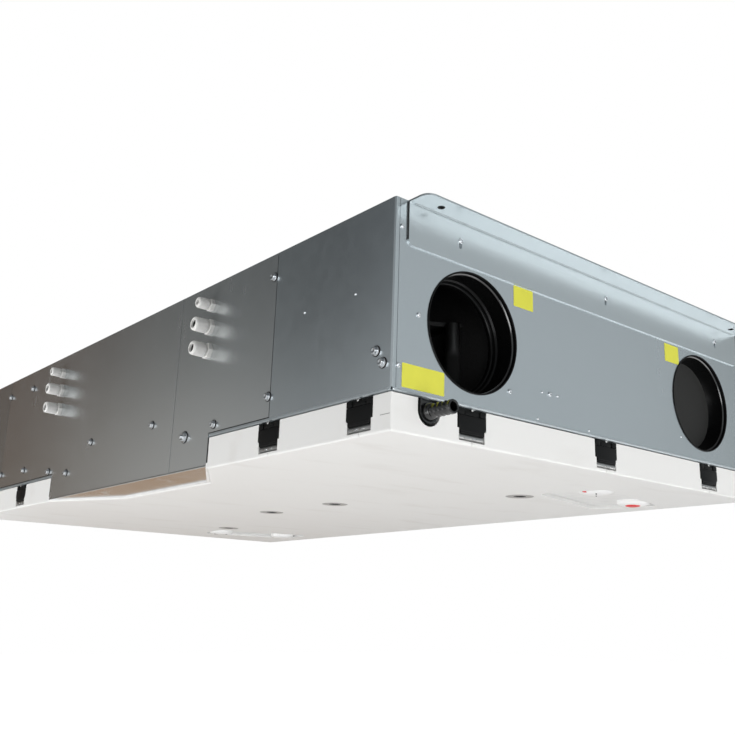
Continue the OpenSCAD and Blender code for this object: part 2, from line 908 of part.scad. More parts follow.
top_panel();
front_end_wall();
rear_end_wall();
left_side_wall();
right_side_wall();
gland_cover();
control_cover();
control_box();
front_ceiling_bracket();
rear_ceiling_bracket();
front_left_collar();
front_right_collar();
rear_left_collar();
rear_right_collar();
foam_middle();
foam_front_left();
foam_front_center();
foam_front_right();
foam_rear_left();
foam_rear_center();
foam_rear_right();
front_fan_housing();
rear_fan_housing();
front_filter();
rear_filter();
lid_seal();
lid();
lid_discs();
front_filter_hatch();
rear_filter_hatch();
front_hatch_knobs();
rear_hatch_knobs();
front_latches();
rear_latches();
left_latches();
right_latches();
front_latch_plates();
rear_latch_plates();
left_latch_plates();
right_latch_plates();
drain_elbow();
front_cable_glands();
rear_cable_glands();
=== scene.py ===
"""Looks of a flat ceiling air handling unit, laid out as a Blender add-on and run as a script."""
import math

import bmesh
import bpy
from bpy.props import FloatProperty, FloatVectorProperty, IntProperty, PointerProperty
from bpy.types import Operator, Panel, PropertyGroup
from mathutils import Matrix, Vector


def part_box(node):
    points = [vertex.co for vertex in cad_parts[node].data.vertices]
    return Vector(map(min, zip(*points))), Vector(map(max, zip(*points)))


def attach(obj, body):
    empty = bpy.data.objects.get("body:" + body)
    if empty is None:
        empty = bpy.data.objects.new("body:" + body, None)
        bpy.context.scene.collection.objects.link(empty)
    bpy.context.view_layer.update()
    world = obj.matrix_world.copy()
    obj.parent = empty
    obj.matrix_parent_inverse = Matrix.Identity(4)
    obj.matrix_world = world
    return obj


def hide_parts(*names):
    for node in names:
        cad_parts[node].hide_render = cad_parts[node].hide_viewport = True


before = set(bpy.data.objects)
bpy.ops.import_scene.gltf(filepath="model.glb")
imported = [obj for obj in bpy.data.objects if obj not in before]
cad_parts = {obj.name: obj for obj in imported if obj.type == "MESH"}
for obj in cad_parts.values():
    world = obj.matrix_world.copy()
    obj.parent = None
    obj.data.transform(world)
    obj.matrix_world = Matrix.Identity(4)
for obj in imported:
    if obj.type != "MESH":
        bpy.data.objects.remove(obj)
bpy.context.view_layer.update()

bl_info = {
    "name": "Air Handling Unit",
    "version": (1, 0, 0),
    "blender": (4, 5, 0),
    "location": "3D View > Sidebar > Air Unit",
    "description": "Dresses a ceiling air handling unit with finishes, fittings and a studio stage",
    "category": "Object",
}

MM = 0.001
BODY = "root"
HALF_W, HALF_L, TOP_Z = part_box("top_panel")[1]
BRACKET_T = 2.5 * MM
# Edges that turn by more than this, in degrees, stay crisp
CREASE = 40
# What every colour setting has in common
COLOR = {"subtype": "COLOR", "size": 3, "min": 0.0, "max": 1.0}
# Turns a section drawn as (out of the face, up it) so that it runs along the face
ALONG = Matrix(((0, 0, -1, 0), (0, 1, 0, 0), (1, 0, 0, 0), (0, 0, 0, 1)))

# The four sides: right along the face, up it, and out of it
FACES = {
    "front": (Vector((1, 0, 0)), Vector((0, 0, 1)), Vector((0, -1, 0))),
    "rear": (Vector((-1, 0, 0)), Vector((0, 0, 1)), Vector((0, 1, 0))),
    "left": (Vector((0, -1, 0)), Vector((0, 0, 1)), Vector((-1, 0, 0))),
    "right": (Vector((0, 1, 0)), Vector((0, 0, 1)), Vector((1, 0, 0))),
}


def on_face(face, along, up, out=0.0):
    """Matrix that stands a piece on a face: X to the right, Y up the face, Z out of it."""
    right, rise, normal = FACES[face]
    if face in ("front", "rear"):
        place = Vector((along, 0, up)) + normal * (HALF_L + out)
    else:
        place = Vector((0, along, up)) + normal * (HALF_W + out)
    turn = Matrix((right, rise, normal)).transposed().to_4x4()
    return Matrix.Translation(place) @ turn


def front_at(x_mm, z_mm, out=0.0):
    """Place on the front end, in millimetres from the corner at the drain."""
    return on_face("front", -HALF_W + x_mm * MM, z_mm * MM, out)


def left_at(y_mm, z_mm, out=0.0):
    """Place on the left side, in millimetres from the corner at the drain."""
    return on_face("left", -HALF_L + y_mm * MM, z_mm * MM, out)


class Wire:
    """A node's output in an expression: each operator adds the Math node that works it out."""

    def __init__(self, finish, socket):
        self.finish = finish
        self.socket = socket

    def math(self, operation, *values):
        return self.finish.add("ShaderNodeMath", {"operation": operation}, dict(enumerate(values)))

    def __add__(self, other):
        return self.math("ADD", self, other)

    __radd__ = __add__

    def __sub__(self, other):
        return self.math("SUBTRACT", self, other)

    def __rsub__(self, other):
        return self.math("SUBTRACT", other, self)

    def __mul__(self, other):
        return self.math("MULTIPLY", self, other)

    __rmul__ = __mul__

    def __lt__(self, other):
        return self.math("LESS_THAN", self, other)

    def between(self, low, high):
        """0 below low and 1 above high, with a soft step between them."""
        sockets = {"Value": self, "From Min": low, "From Max": high}
        return self.finish.add("ShaderNodeMapRange", {"interpolation_type": "SMOOTHSTEP"}, sockets)


class Finish:
    """A node tree under construction, for a material or the world."""

    def __init__(self, owner):
        owner.use_nodes = True
        self.owner = owner
        self.tree = owner.node_tree
        self.shader = self.tree.nodes.get("Principled BSDF")

    def add(self, kind, settings, sockets, output=0):
        """Add a node: its settings first, then the values or links of its sockets."""
        node = self.tree.nodes.new(kind)
        for name, value in settings.items():
            setattr(node, name, value)
        for key, value in sockets.items():
            self.join(node.inputs[key], value)
        return Wire(self, node.outputs[output])

    def join(self, socket, value):
        """Link a socket to a wire, or set its value."""
        if isinstance(value, Wire):
            self.tree.links.new(value.socket, socket)
        elif hasattr(value, "__len__") and socket.type == "RGBA" and len(value) == 3:
            socket.default_value = (*value, 1.0)
        else:
            socket.default_value = value

    def surface(self, **sockets):
        """Set the main shader's sockets, named with underscores for spaces."""
        for name, value in sockets.items():
            self.join(self.shader.inputs[name.replace("_", " ")], value)
        return self.owner

    def place(self):
        return self.add("ShaderNodeTexCoord", {}, {}, "Object")

    def scaled(self, place, scale):
        return self.add("ShaderNodeVectorMath", {"operation": "MULTIPLY"}, {0: place, 1: scale})

    def noise(self, place, scale, detail=2.0, roughness=0.5):
        sockets = {"Vector": place, "Scale": scale, "Detail": detail, "Roughness": roughness}
        return self.add("ShaderNodeTexNoise", {}, sockets)

    def cells(self, place, scale, output="Distance"):
        return self.add("ShaderNodeTexVoronoi", {}, {"Vector": place, "Scale": scale}, output)

    def grey(self, color):
        """A cell's random colour as one value."""
        return self.add("ShaderNodeSeparateColor", {}, {"Color": color})

    def coordinate(self, place, axis):
        return self.add("ShaderNodeSeparateXYZ", {}, {0: place}, axis)

    def blend(self, share, low, high):
        """Colour between low and high; 6, 7 and output 2 are a Mix node's colour sockets."""
        settings = {"data_type": "RGBA", "clamp_factor": True}
        return self.add("ShaderNodeMix", settings, {0: share, 6: low, 7: high}, 2)

    def bump(self, height, distance, strength=1.0):
        sockets = {"Height": height, "Distance": distance, "Strength": strength}
        return self.add("ShaderNodeBump", {}, sockets)


def new_finish(name):
    return Finish(bpy.data.materials.new(name))


def tinted(color, factor):
    return tuple(min(1.0, channel * factor) for channel in color)


def sheet_finish(name, color, roughness, marks=1.0, metal=0.9):
    """Galvanised sheet: slow clouds, faint spangle, slanted wipe marks, pale smudges and a soft ripple."""
    f = new_finish(name)
    at = f.place()
    wiped = {"Vector": at, "Rotation": (0.38, 0.38, 0.0), "Scale": (36.0, 36.0, 4.0)}
    slant = f.add("ShaderNodeMapping", {}, wiped)
    spangle = f.grey(f.cells(at, 70.0, output="Color"))
    cloud = f.noise(at, 3.5, 3.0)
    smear = f.noise(slant, 1.0, 2.0).between(0.58, 0.78) * f.noise(at, 5.0, 1.0).between(0.45, 0.65)
    smudge = f.noise(f.scaled(at, (18.0, 18.0, 11.0)), 1.0, 3.0).between(0.62, 0.8)
    nick = (f.cells(at, 26.0) < 0.04) * f.noise(at, 4.0, 1.0).between(0.5, 0.6)
    shade = 0.5 + (spangle - 0.5) * 0.12 + (cloud - 0.5) * 0.8
    base = f.blend(shade, tinted(color, 0.96), tinted(color, 1.03))
    mark = (smear * 0.11 + smudge * 0.05 + nick * 0.25) * marks
    marked = f.blend(mark, base, tinted(color, 1.35))
    wear = (smear * 0.09 + smudge * 0.03) * marks
    rough = roughness + (cloud - 0.5) * 0.08 + (spangle - 0.5) * 0.02 + wear
    return f.surface(Base_Color=marked, Metallic=metal, Roughness=rough, Normal=f.bump(cloud, 0.5 * MM))


def coat_finish(name, color, dirt_color, roughness):
    """Powder coat: orange peel, a slow unevenness in tone, and faint handling marks."""
    f = new_finish(name)
    at = f.place()
    peel = f.noise(at, 620.0, 2.0)
    tone = f.noise(at, 3.4, 3.0)
    smudge = f.noise(f.scaled(at, (5.0, 16.0, 12.0)), 1.0, 4.0).between(0.52, 0.8)
    speck = f.cells(at, 140.0).between(0.0, 0.11)
    base = f.blend(tone, tinted(color, 0.985), tinted(color, 1.015))
    worn = f.blend(smudge * 0.3 + (1 - speck) * 0.06, base, dirt_color)
    rough = roughness + (tone - 0.5) * 0.1 + smudge * 0.08
    return f.surface(Base_Color=worn, Roughness=rough, Normal=f.bump(peel, 0.03 * MM, 0.6))


def moulded_finish(name, color, roughness, grain=900.0, depth=0.02, metal=0.0, gloss=0.5):
    """Moulded or cast part: fine spark-eroded grain, uneven gloss and a dusting of pale wear."""
    f = new_finish(name)
    at = f.place()
    fine = f.noise(at, grain, 3.0, 0.6)
    patch = f.noise(at, 38.0, 3.0)
    dust = f.noise(at, 210.0, 2.0).between(0.6, 0.78)
    base = f.blend(patch, tinted(color, 0.86), tinted(color, 1.14))
    dusty = f.blend(dust * 0.1, base, tinted(color, 1.9))
    rough = roughness + (patch - 0.5) * 0.14 + dust * 0.08
    return f.surface(
        Base_Color=dusty, Metallic=metal, Roughness=rough, Specular_IOR_Level=gloss,
        Normal=f.bump(fine, depth * MM, 0.7),
    )


def fan_finish(name, color, dull_shaded_below, glossy_lit_above):
    """Moulded fan housing: fine grain, uneven gloss, and dull further down, where its colour darkens as
    painted shade.
    """
    f = new_finish(name)
    at = f.place()
    fine = f.noise(at, 500.0, 3.0, 0.6)
    patch = f.noise(at, 38.0, 3.0)
    clean = f.coordinate(at, "Z").between(dull_shaded_below, glossy_lit_above)
    base = f.blend(patch, tinted(color, 0.86), tinted(color, 1.14))
    # Painted shade: low on the drum the colour falls to 0.12 of itself, for the shade on its lower part
    dusty = f.blend(clean, tinted(color, 0.12), base)
    rough = 0.98 - clean * 0.66 + (patch - 0.5) * 0.1
    grain = f.bump(fine, 0.01 * MM, 0.7)
    return f.surface(Base_Color=dusty, Roughness=rough, Specular_IOR_Level=0.38, Normal=grain)


def foam_finish(name, color):
    """Moulded bead foam: closely packed beads with dark joints."""
    f = new_finish(name)
    at = f.place()
    bead = f.cells(at, 260.0)
    tone = f.grey(f.cells(at, 260.0, output="Color"))
    base = f.blend(bead * 0.9 + (tone - 0.5) * 0.4, tinted(color, 1.35), tinted(color, 0.55))
    return f.surface(Base_Color=base, Roughness=0.85 - bead * 0.1, Normal=f.bump(1 - bead, 0.4 * MM))


def felt_finish(name, color):
    """Filter felt: crossed fibres over a soft, uneven tone."""
    f = new_finish(name)
    at = f.place()
    fibre = f.noise(f.scaled(at, (900.0, 900.0, 160.0)), 1.0, 3.0)
    weft = f.noise(f.scaled(at, (160.0, 160.0, 900.0)), 1.0, 3.0)
    tone = f.noise(at, 14.0, 2.0)
    hair = fibre * 0.5 + weft * 0.5
    base = f.blend(hair * 0.7 + (tone - 0.5) * 0.5, tinted(color, 0.8), tinted(color, 1.2))
    return f.surface(Base_Color=base, Roughness=0.9 - hair * 0.1, Normal=f.bump(hair, 0.15 * MM))


def vinyl_finish(name, color):
    """Sticker film: a slightly uneven print with tiny pores."""
    f = new_finish(name)
    at = f.place()
    pore = f.noise(at, 800.0, 2.0)
    tone = f.noise(at, 60.0, 2.0)
    base = f.blend(tone, tinted(color, 0.95), tinted(color, 1.03))
    return f.surface(Base_Color=base, Roughness=0.42 + (tone - 0.5) * 0.1, Normal=f.bump(pore, 0.01 * MM))


class Shape:
    """Gathers the mesh of one piece from lathed, bevelled, extruded and bent parts."""

    def __init__(self):
        self.mesh = bmesh.new()

    def take(self, part, place):
        """Move a part to its place and add it to the piece."""
        part.transform(place)
        bmesh.ops.recalc_face_normals(part, faces=part.faces)
        data = bpy.data.meshes.new("part")
        part.to_mesh(data)
        part.free()
        self.mesh.from_mesh(data)
        bpy.data.meshes.remove(data)

    def block(self, place, low, high, bevel=0.0):
        """A box from low to high, in millimetres, with its edges rounded."""
        part = bmesh.new()
        low, high = Vector(low) * MM, Vector(high) * MM
        stretch = Matrix.Translation((low + high) / 2) @ Matrix.Diagonal((*(high - low), 1))
        bmesh.ops.create_cube(part, size=1.0, matrix=stretch)
        if bevel:
            self.soften(part, part.edges[:], bevel, 2)
        self.take(part, place)

    def soften(self, part, edges, bevel, segments):
        offset = bevel * MM
        bmesh.ops.bevel(part, geom=edges, offset=offset, segments=segments, profile=0.5, affect="EDGES")

    def plate(self, place, outline, back, front, bevel=0.0, segments=2):
        """An outline in X and Y, filled from back to front along Z, in millimetres, front edge rounded."""
        part = bmesh.new()
        face = part.faces.new([part.verts.new((x * MM, y * MM, back * MM)) for x, y in outline])
        top = bmesh.ops.extrude_face_region(part, geom=[face])
        verts = [g for g in top["geom"] if isinstance(g, bmesh.types.BMVert)]
        bmesh.ops.translate(part, vec=(0, 0, (front - back) * MM), verts=verts)
        if bevel:
            middle = (back + front) / 2 * MM
            edges = [e for e in part.edges if all(v.co.z > middle for v in e.verts)]
            self.soften(part, edges, bevel, segments)
        self.take(part, place)

    def fold(self, place, section, half):
        """Bent sheet: a section of (out, up) in millimetres, run along the face to half on each side."""
        self.plate(place @ ALONG, section, -half, half)

    def lathe(self, place, profile, sides=48, lobes=None, closed=False):
        """A profile of (radius, height) in millimetres turned about Z; lobes may change its radius."""
        part = bmesh.new()
        rings = []
        for radius, height in profile:
            if radius <= 0:
                rings.append([part.verts.new((0, 0, height * MM))])
                continue
            ring = []
            for i in range(sides):
                angle = 2 * math.pi * i / sides
                r = (lobes(radius, height, angle) if lobes else radius) * MM
                ring.append(part.verts.new((r * math.cos(angle), r * math.sin(angle), height * MM)))
            rings.append(ring)
        for a, b in zip(rings, rings[1:] + rings[:1] if closed else rings[1:]):
            for i in range(sides):
                j = (i + 1) % sides
                quad = [a[i % len(a)], a[j % len(a)], b[j % len(b)], b[i % len(b)]]
                part.faces.new(list(dict.fromkeys(quad)))
        self.take(part, place)

    def ring(self, place, outer, inner, back, front):
        """A band between two outlines of as many points, from back to front, in millimetres."""
        part = bmesh.new()
        sides = ((outer, back), (outer, front), (inner, front), (inner, back))
        loops = [[part.verts.new((x * MM, y * MM, z * MM)) for x, y in outline] for outline, z in sides]
        for a, b in zip(loops, loops[1:] + loops[:1]):
            for i in range(len(a)):
                j = (i + 1) % len(a)
                part.faces.new((a[i], a[j], b[j], b[i]))
        self.take(part, place)

    def piece(self, name, material, slot=None, replaces=(), smooth=CREASE):
        """Make the gathered mesh a piece that rides on the unit."""
        data = bpy.data.meshes.new(name)
        self.mesh.to_mesh(data)
        self.mesh.free()
        data.shade_smooth()
        data.set_sharp_from_angle(angle=math.radians(smooth))
        data.materials.append(material)
        made = bpy.data.objects.new(name, data)
        bpy.context.scene.collection.objects.link(made)
        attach(made, BODY)
        if replaces:
            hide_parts(*replaces)
        return made


def round_outline(width, height, radius, steps=6):
    """Corner points of a rectangle about the origin with round corners."""
    points = []
    for turn, (sx, sy) in enumerate(((1, 1), (-1, 1), (-1, -1), (1, -1))):
        for step in range(steps + 1):
            angle = math.pi / 2 * (turn + step / steps)
            x = sx * (width / 2 - radius) + radius * math.cos(angle)
            y = sy * (height / 2 - radius) + radius * math.sin(angle)
            points.append((x, y))
    return points


def arc(middle, radius, start, end, steps):
    """Points of an arc in a profile, angles in degrees."""
    points = []
    for i in range(steps + 1):
        angle = math.radians(start + (end - start) * i / steps)
        points.append((middle[0] + radius * math.cos(angle), middle[1] + radius * math.sin(angle)))
    return points


def facing_x(x, y, z):
    """Corners of an upright sheet that faces along X; y and z are spans."""
    return [(x, y[0], z[0]), (x, y[1], z[0]), (x, y[1], z[1]), (x, y[0], z[1])]


def facing_y(y, x, z):
    """Corners of an upright sheet that faces along Y; x and z are spans."""
    return [(x[0], y, z[0]), (x[1], y, z[0]), (x[1], y, z[1]), (x[0], y, z[1])]


def level(z, x, y):
    """Corners of a level sheet; x and y are spans."""
    return [(x[0], y[0], z), (x[1], y[0], z), (x[1], y[1], z), (x[0], y[1], z)]


def dress(node, material, bevel=0.0, segments=2):
    """Give a CAD node its finish and, where its edges are soft, a rounding."""
    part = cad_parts[node]
    part.data.materials.clear()
    part.data.materials.append(material)
    if bevel:
        soft = part.modifiers.new("soft_edges", "BEVEL")
        soft.width = bevel
        soft.segments = segments
        soft.limit_method = "ANGLE"
        soft.angle_limit = math.radians(CREASE)
        soft.harden_normals = True


class AirUnitSheet(PropertyGroup):
    """Sheet metal and its screws."""

    color: FloatVectorProperty(
        name="Sheet colour", description="Colour of the galvanised sheet",
        default=(0.60, 0.65, 0.675), **COLOR,
    )
    roughness: FloatProperty(
        name="Sheet roughness", description="How dull the galvanised sheet is", subtype="FACTOR",
        min=0.05, max=0.8, default=0.24,
    )
    cover_color: FloatVectorProperty(
        name="Cover colour", description="Colour of the side covers and the control box",
        default=(0.66, 0.69, 0.70), **COLOR,
    )
    bracket_color: FloatVectorProperty(
        name="Bracket colour", description="Colour of the ceiling brackets",
        default=(0.66, 0.71, 0.73), **COLOR,
    )
    bracket_roughness: FloatProperty(
        name="Bracket roughness", description="How dull the ceiling brackets are", subtype="FACTOR",
        min=0.05, max=0.8, default=0.3,
    )
    pan_radius: FloatProperty(
        name="Pan head", description="Radius of a pan head screw", unit="LENGTH",
        min=2.0 * MM, max=8.0 * MM, default=3.3 * MM,
    )
    hex_radius: FloatProperty(
        name="Hex head", description="Radius of a hex head screw's washer", unit="LENGTH",
        min=2.0 * MM, max=12.0 * MM, default=6.2 * MM,
    )


class AirUnitLid(PropertyGroup):
    """Coated lid and what is let into its underside."""

    color: FloatVectorProperty(
        name="Lid colour", description="Colour of the lid's powder coat",
        default=(0.84, 0.84, 0.825), **COLOR,
    )
    dirt: FloatVectorProperty(
        name="Handling marks", description="Colour of the marks on the lid",
        default=(0.62, 0.59, 0.55), **COLOR,
    )
    disc: FloatVectorProperty(
        name="Disc colour", description="Colour of the lock discs",
        default=(0.33, 0.32, 0.31), **COLOR,
    )
    mark: FloatVectorProperty(
        name="Knob mark", description="Colour of the marks on the hatch knobs",
        default=(0.72, 0.03, 0.03), **COLOR,
    )


class AirUnitFittings(PropertyGroup):
    """Ducts, latches, glands, drain and stickers."""

    black: FloatVectorProperty(
        name="Black plastic", description="Colour of ducts, latches and drain",
        default=(0.008, 0.0083, 0.0085), **COLOR,
    )
    foam: FloatVectorProperty(
        name="Foam", description="Colour of the foam lining",
        default=(0.013, 0.013, 0.0135), **COLOR,
    )
    felt: FloatVectorProperty(
        name="Filter felt", description="Colour of the filters",
        default=(0.0145, 0.0145, 0.0138), **COLOR,
    )
    gland: FloatVectorProperty(
        name="Gland plastic", description="Colour of the cable glands",
        default=(0.86, 0.86, 0.84), **COLOR,
    )
    sticker: FloatVectorProperty(
        name="Sticker", description="Colour of the stickers",
        default=(0.745, 0.735, 0.066), **COLOR,
    )
    sides: IntProperty(
        name="Round sides", description="Sides of the round fittings", min=12, max=128, default=48,
    )
    collar_sides: IntProperty(
        name="Collar sides", description="Sides of the duct collars", min=24, max=256, default=128,
    )


class AirUnitStage(PropertyGroup):
    """Floor, lamps and camera."""

    floor_drop: FloatProperty(
        name="Floor drop", description="How far the floor lies below the lid", unit="LENGTH", default=2.8,
    )
    floor_glow: FloatProperty(
        name="Floor glow", description="How much white the floor shows of its own", subtype="FACTOR",
        min=0.0, max=1.0, default=0.86,
    )
    ambient: FloatProperty(
        name="Ambient", description="Strength of the even light", min=0.0, max=2.0, default=0.26,
    )
    key: FloatProperty(
        name="Key lamp", description="Power of the key lamp", unit="POWER", default=60.0,
    )
    lens: FloatProperty(
        name="Lens", description="Focal length of the camera", unit="CAMERA", default=44.93,
    )


class AIRUNIT_OT_stage(Operator):
    """Make the floor, the lamps, the reflecting cards and the camera"""

    bl_idname = "air_unit.stage"
    bl_label = "Stage"

    # Level of the white background in metal, before the soft step
    IN_METAL = 0.6
    FLOOR_REACH = 60.0
    FLOOR_GREY = (0.85, 0.85, 0.85)
    WHITE = (1, 1, 1)
    # Heights of the cards: foot of the walls, foot of those behind, bright and brown ones, and roof
    CARD_FOOT, CARD_HUNG, CARD_GROUND, CARD_TOP = -1.2, -0.2, -1.28, 3.2
    # Each lamp's name, place, target, size in metres and share of the key lamp's power
    LAMPS = (
        ("key", (0.3, -3.4, -0.7), (0.0, -0.4, 0.1), 2.2, 1.0),
        ("fill", (-2.3, 0.75, -1.0), (-0.4, 0.6, 0.1), 1.8, 0.66),
        ("low", (-1.7, -1.3, -1.15), (-0.42, -0.4, 0.2), 0.9, 0.18),
        ("under", (-0.3, -0.5, -1.2), (-0.2, 0.0, 0.0), 1.6, 0.03),
        ("top", (0.5, 0.2, 3.0), (0.0, 0.0, 0.2), 2.5, 0.1),
        ("back", (2.2, 2.8, 0.5), (0.2, 0.5, 0.1), 2.2, 0.5),
    )
    CAMERA_PLACE = (-1.08889, -1.54352, -0.21260)
    # Axis of the camera's turn, as long as its angle in radians
    CAMERA_TURN = (1.2507644, -0.4582044, 0.6349516)
    CAMERA_SHIFT = (-0.0568, 0.0054)

    def execute(self, context):
        look = context.scene.air_unit_stage
        context.scene.view_settings.view_transform = "Standard"
        self.world(context, look)
        self.floor(context, look)
        self.cards(context)
        self.lamps(context, look)
        self.camera(context, look)
        return {"FINISHED"}

    def shown(self, f):
        """1 for rays that show the background to the eye and in glass, and less for those in metal."""
        kinds = ("Is Camera Ray", "Is Glossy Ray", "Is Transmission Ray")
        eye, gloss, glass = (f.add("ShaderNodeLightPath", {}, {}, kind) for kind in kinds)
        return (eye + gloss * self.IN_METAL + glass).between(0.0, 1.0) * self.mirrored(f)

    def mirrored(self, f):
        """1 until a ray has met a dull surface: cards and background throw no light on it."""
        return f.add("ShaderNodeLightPath", {}, {}, "Diffuse Depth") < 0.5

    def world(self, context, look):
        """A weak even light, shown as white."""
        f = Finish(bpy.data.worlds.new("studio"))
        f.tree.nodes.clear()
        strength = look.ambient + self.shown(f) * (1 - look.ambient)
        sky = f.add("ShaderNodeBackground", {}, {"Color": self.WHITE, "Strength": strength})
        self.output(f, "World", sky)
        context.scene.world = f.owner

    def output(self, f, kind, surface):
        node = f.tree.nodes.new("ShaderNodeOutput" + kind)
        f.join(node.inputs["Surface"], surface)

    def sheet(self, context, name, corners, material):
        """A flat sheet of the stage."""
        data = bpy.data.meshes.new(name)
        data.from_pydata(corners, [], [range(len(corners))])
        data.materials.append(material)
        made = bpy.data.objects.new(name, data)
        context.scene.collection.objects.link(made)
        return made

    def floor(self, context, look):
        """A pale floor that keeps the unit's shadow."""
        f = new_finish("studio_floor")
        f.tree.nodes.clear()
        matt = f.add("ShaderNodeBsdfDiffuse", {}, {"Color": self.FLOOR_GREY})
        lit = self.shown(f) * look.floor_glow
        glow = f.add("ShaderNodeEmission", {}, {"Color": self.WHITE, "Strength": lit})
        self.output(f, "Material", f.add("ShaderNodeAddShader", {}, {0: matt, 1: glow}))
        span = (-self.FLOOR_REACH, self.FLOOR_REACH)
        self.sheet(context, "studio_floor", level(-look.floor_drop, span, span), f.owner)

    def card(self, context, name, corners, shade):
        """A card that only shows as a reflection; shade makes its colour from the place on it."""
        f = new_finish(name)
        f.tree.nodes.clear()
        sockets = {"Color": shade(f, f.place()), "Strength": self.mirrored(f)}
        self.output(f, "Material", f.add("ShaderNodeEmission", {}, sockets))
        made = self.sheet(context, name, corners, f.owner)
        made.visible_camera = False
        made.visible_diffuse = False
        made.visible_transmission = False
        made.visible_shadow = False

    def cards(self, context):
        """Cards for the metal to mirror: walls, a roof, a bright floor, a brown step and two windows."""

        def side(f, at):
            along, up = f.coordinate(at, "Y"), f.coordinate(at, "Z")
            rise = up.between(0.4, 1.4)
            corner = f.blend(rise, (0.50, 0.52, 0.53), (0.09, 0.10, 0.11))
            near = f.blend(up.between(0.5, 1.15), (0.22, 0.225, 0.23), (0.0, 0.0, 0.0))
            lit = f.blend(rise, (0.435, 0.425, 0.405), (0.09, 0.10, 0.10))
            far = f.blend(rise, (0.07, 0.03, 0.0), (0.06, 0.022, 0.0))
            first = f.blend(along.between(0.9, 1.5), corner, near)
            return f.blend(along.between(2.5, 5.2), f.blend(along.between(1.7, 2.3), first, lit), far)

        def end(f, at):
            across = f.coordinate(at, "X").between(3.7, 4.9)
            wall = f.blend(across, (0.495, 0.53, 0.545), (0.25, 0.278, 0.28))
            return f.blend(f.coordinate(at, "Z").between(1.9, 2.4), wall, (0.16, 0.165, 0.17))

        def far(f, at):
            return f.blend(f.coordinate(at, "Z").between(0.0, 1.8), (0.42, 0.425, 0.43), (0.2, 0.21, 0.22))

        def mottled(scale, dark, light):
            return lambda f, at: f.blend(f.noise(at, scale), dark, light)

        bright = mottled(0.4, (2.8, 2.8, 2.8), (3.1, 3.08, 3.05))
        roof = mottled(0.5, (0.18, 0.185, 0.19), (0.24, 0.245, 0.25))
        window = mottled(0.6, (4.6, 4.7, 4.8), (5.2, 5.2, 5.2))
        left = mottled(0.6, (1.9, 1.95, 2.0), (2.2, 2.2, 2.2))
        brown = mottled(0.6, (0.31, 0.16, 0.055), (0.35, 0.19, 0.07))
        foot, hung = self.CARD_FOOT, self.CARD_HUNG
        ground, top = self.CARD_GROUND, self.CARD_TOP
        for name, corners, shade in (
            ("side_card", facing_x(-2, (-3, 30), (foot, top)), side),
            ("end_card", facing_y(-3, (-1, 7), (foot, top)), end),
            ("end_high_card", facing_y(-3, (-6, -1), (0.3, top)), end),
            ("far_card", facing_x(2.2, (-0.9, 4), (hung, top)), far),
            ("rear_card", facing_y(3, (-0.5, 4), (hung, top)), far),
            ("bright_card", level(ground, (1, 6), (-4.4, -1.9)), bright),
            ("brown_card", facing_y(3.6, (0.6, 9), (ground, 0)), brown),
            ("roof_card", level(top, (-4, 8), (-5, 10)), roof),
            ("window_card", facing_y(-2.95, (-1.9, -0.3), (-1.0, 0.1)), window),
            ("left_card", facing_x(-1.95, (-2.4, -0.9), (foot, -0.3)), left),
        ):
            self.card(context, name, corners, shade)

    def lamp(self, context, name, place, target, size, power):
        """A round soft lamp, turned to its target, that nothing mirrors."""
        data = bpy.data.lights.new(name, "AREA")
        data.shape = "DISK"
        data.size = size
        data.energy = power
        made = bpy.data.objects.new(name, data)
        made.location = place
        made.rotation_euler = (Vector(target) - Vector(place)).to_track_quat("-Z", "Y").to_euler()
        made.visible_glossy = False
        made.visible_camera = False
        context.scene.collection.objects.link(made)

    def lamps(self, context, look):
        for name, place, target, size, share in self.LAMPS:
            self.lamp(context, name, place, target, size, look.key * share)

    def camera(self, context, look):
        """A camera at the photograph's viewing angle."""
        data = bpy.data.cameras.new("camera")
        data.lens = look.lens
        data.sensor_width = 36.0
        data.shift_x, data.shift_y = self.CAMERA_SHIFT
        data.clip_start = 0.05
        data.clip_end = 200.0
        made = bpy.data.objects.new("camera", data)
        made.location = self.CAMERA_PLACE
        axis = Vector(self.CAMERA_TURN)
        seen = Matrix.Rotation(axis.length, 3, axis.normalized()).transposed()
        made.rotation_euler = (seen @ Matrix.Diagonal((1, -1, -1))).to_euler()
        context.scene.collection.objects.link(made)
        context.scene.camera = made


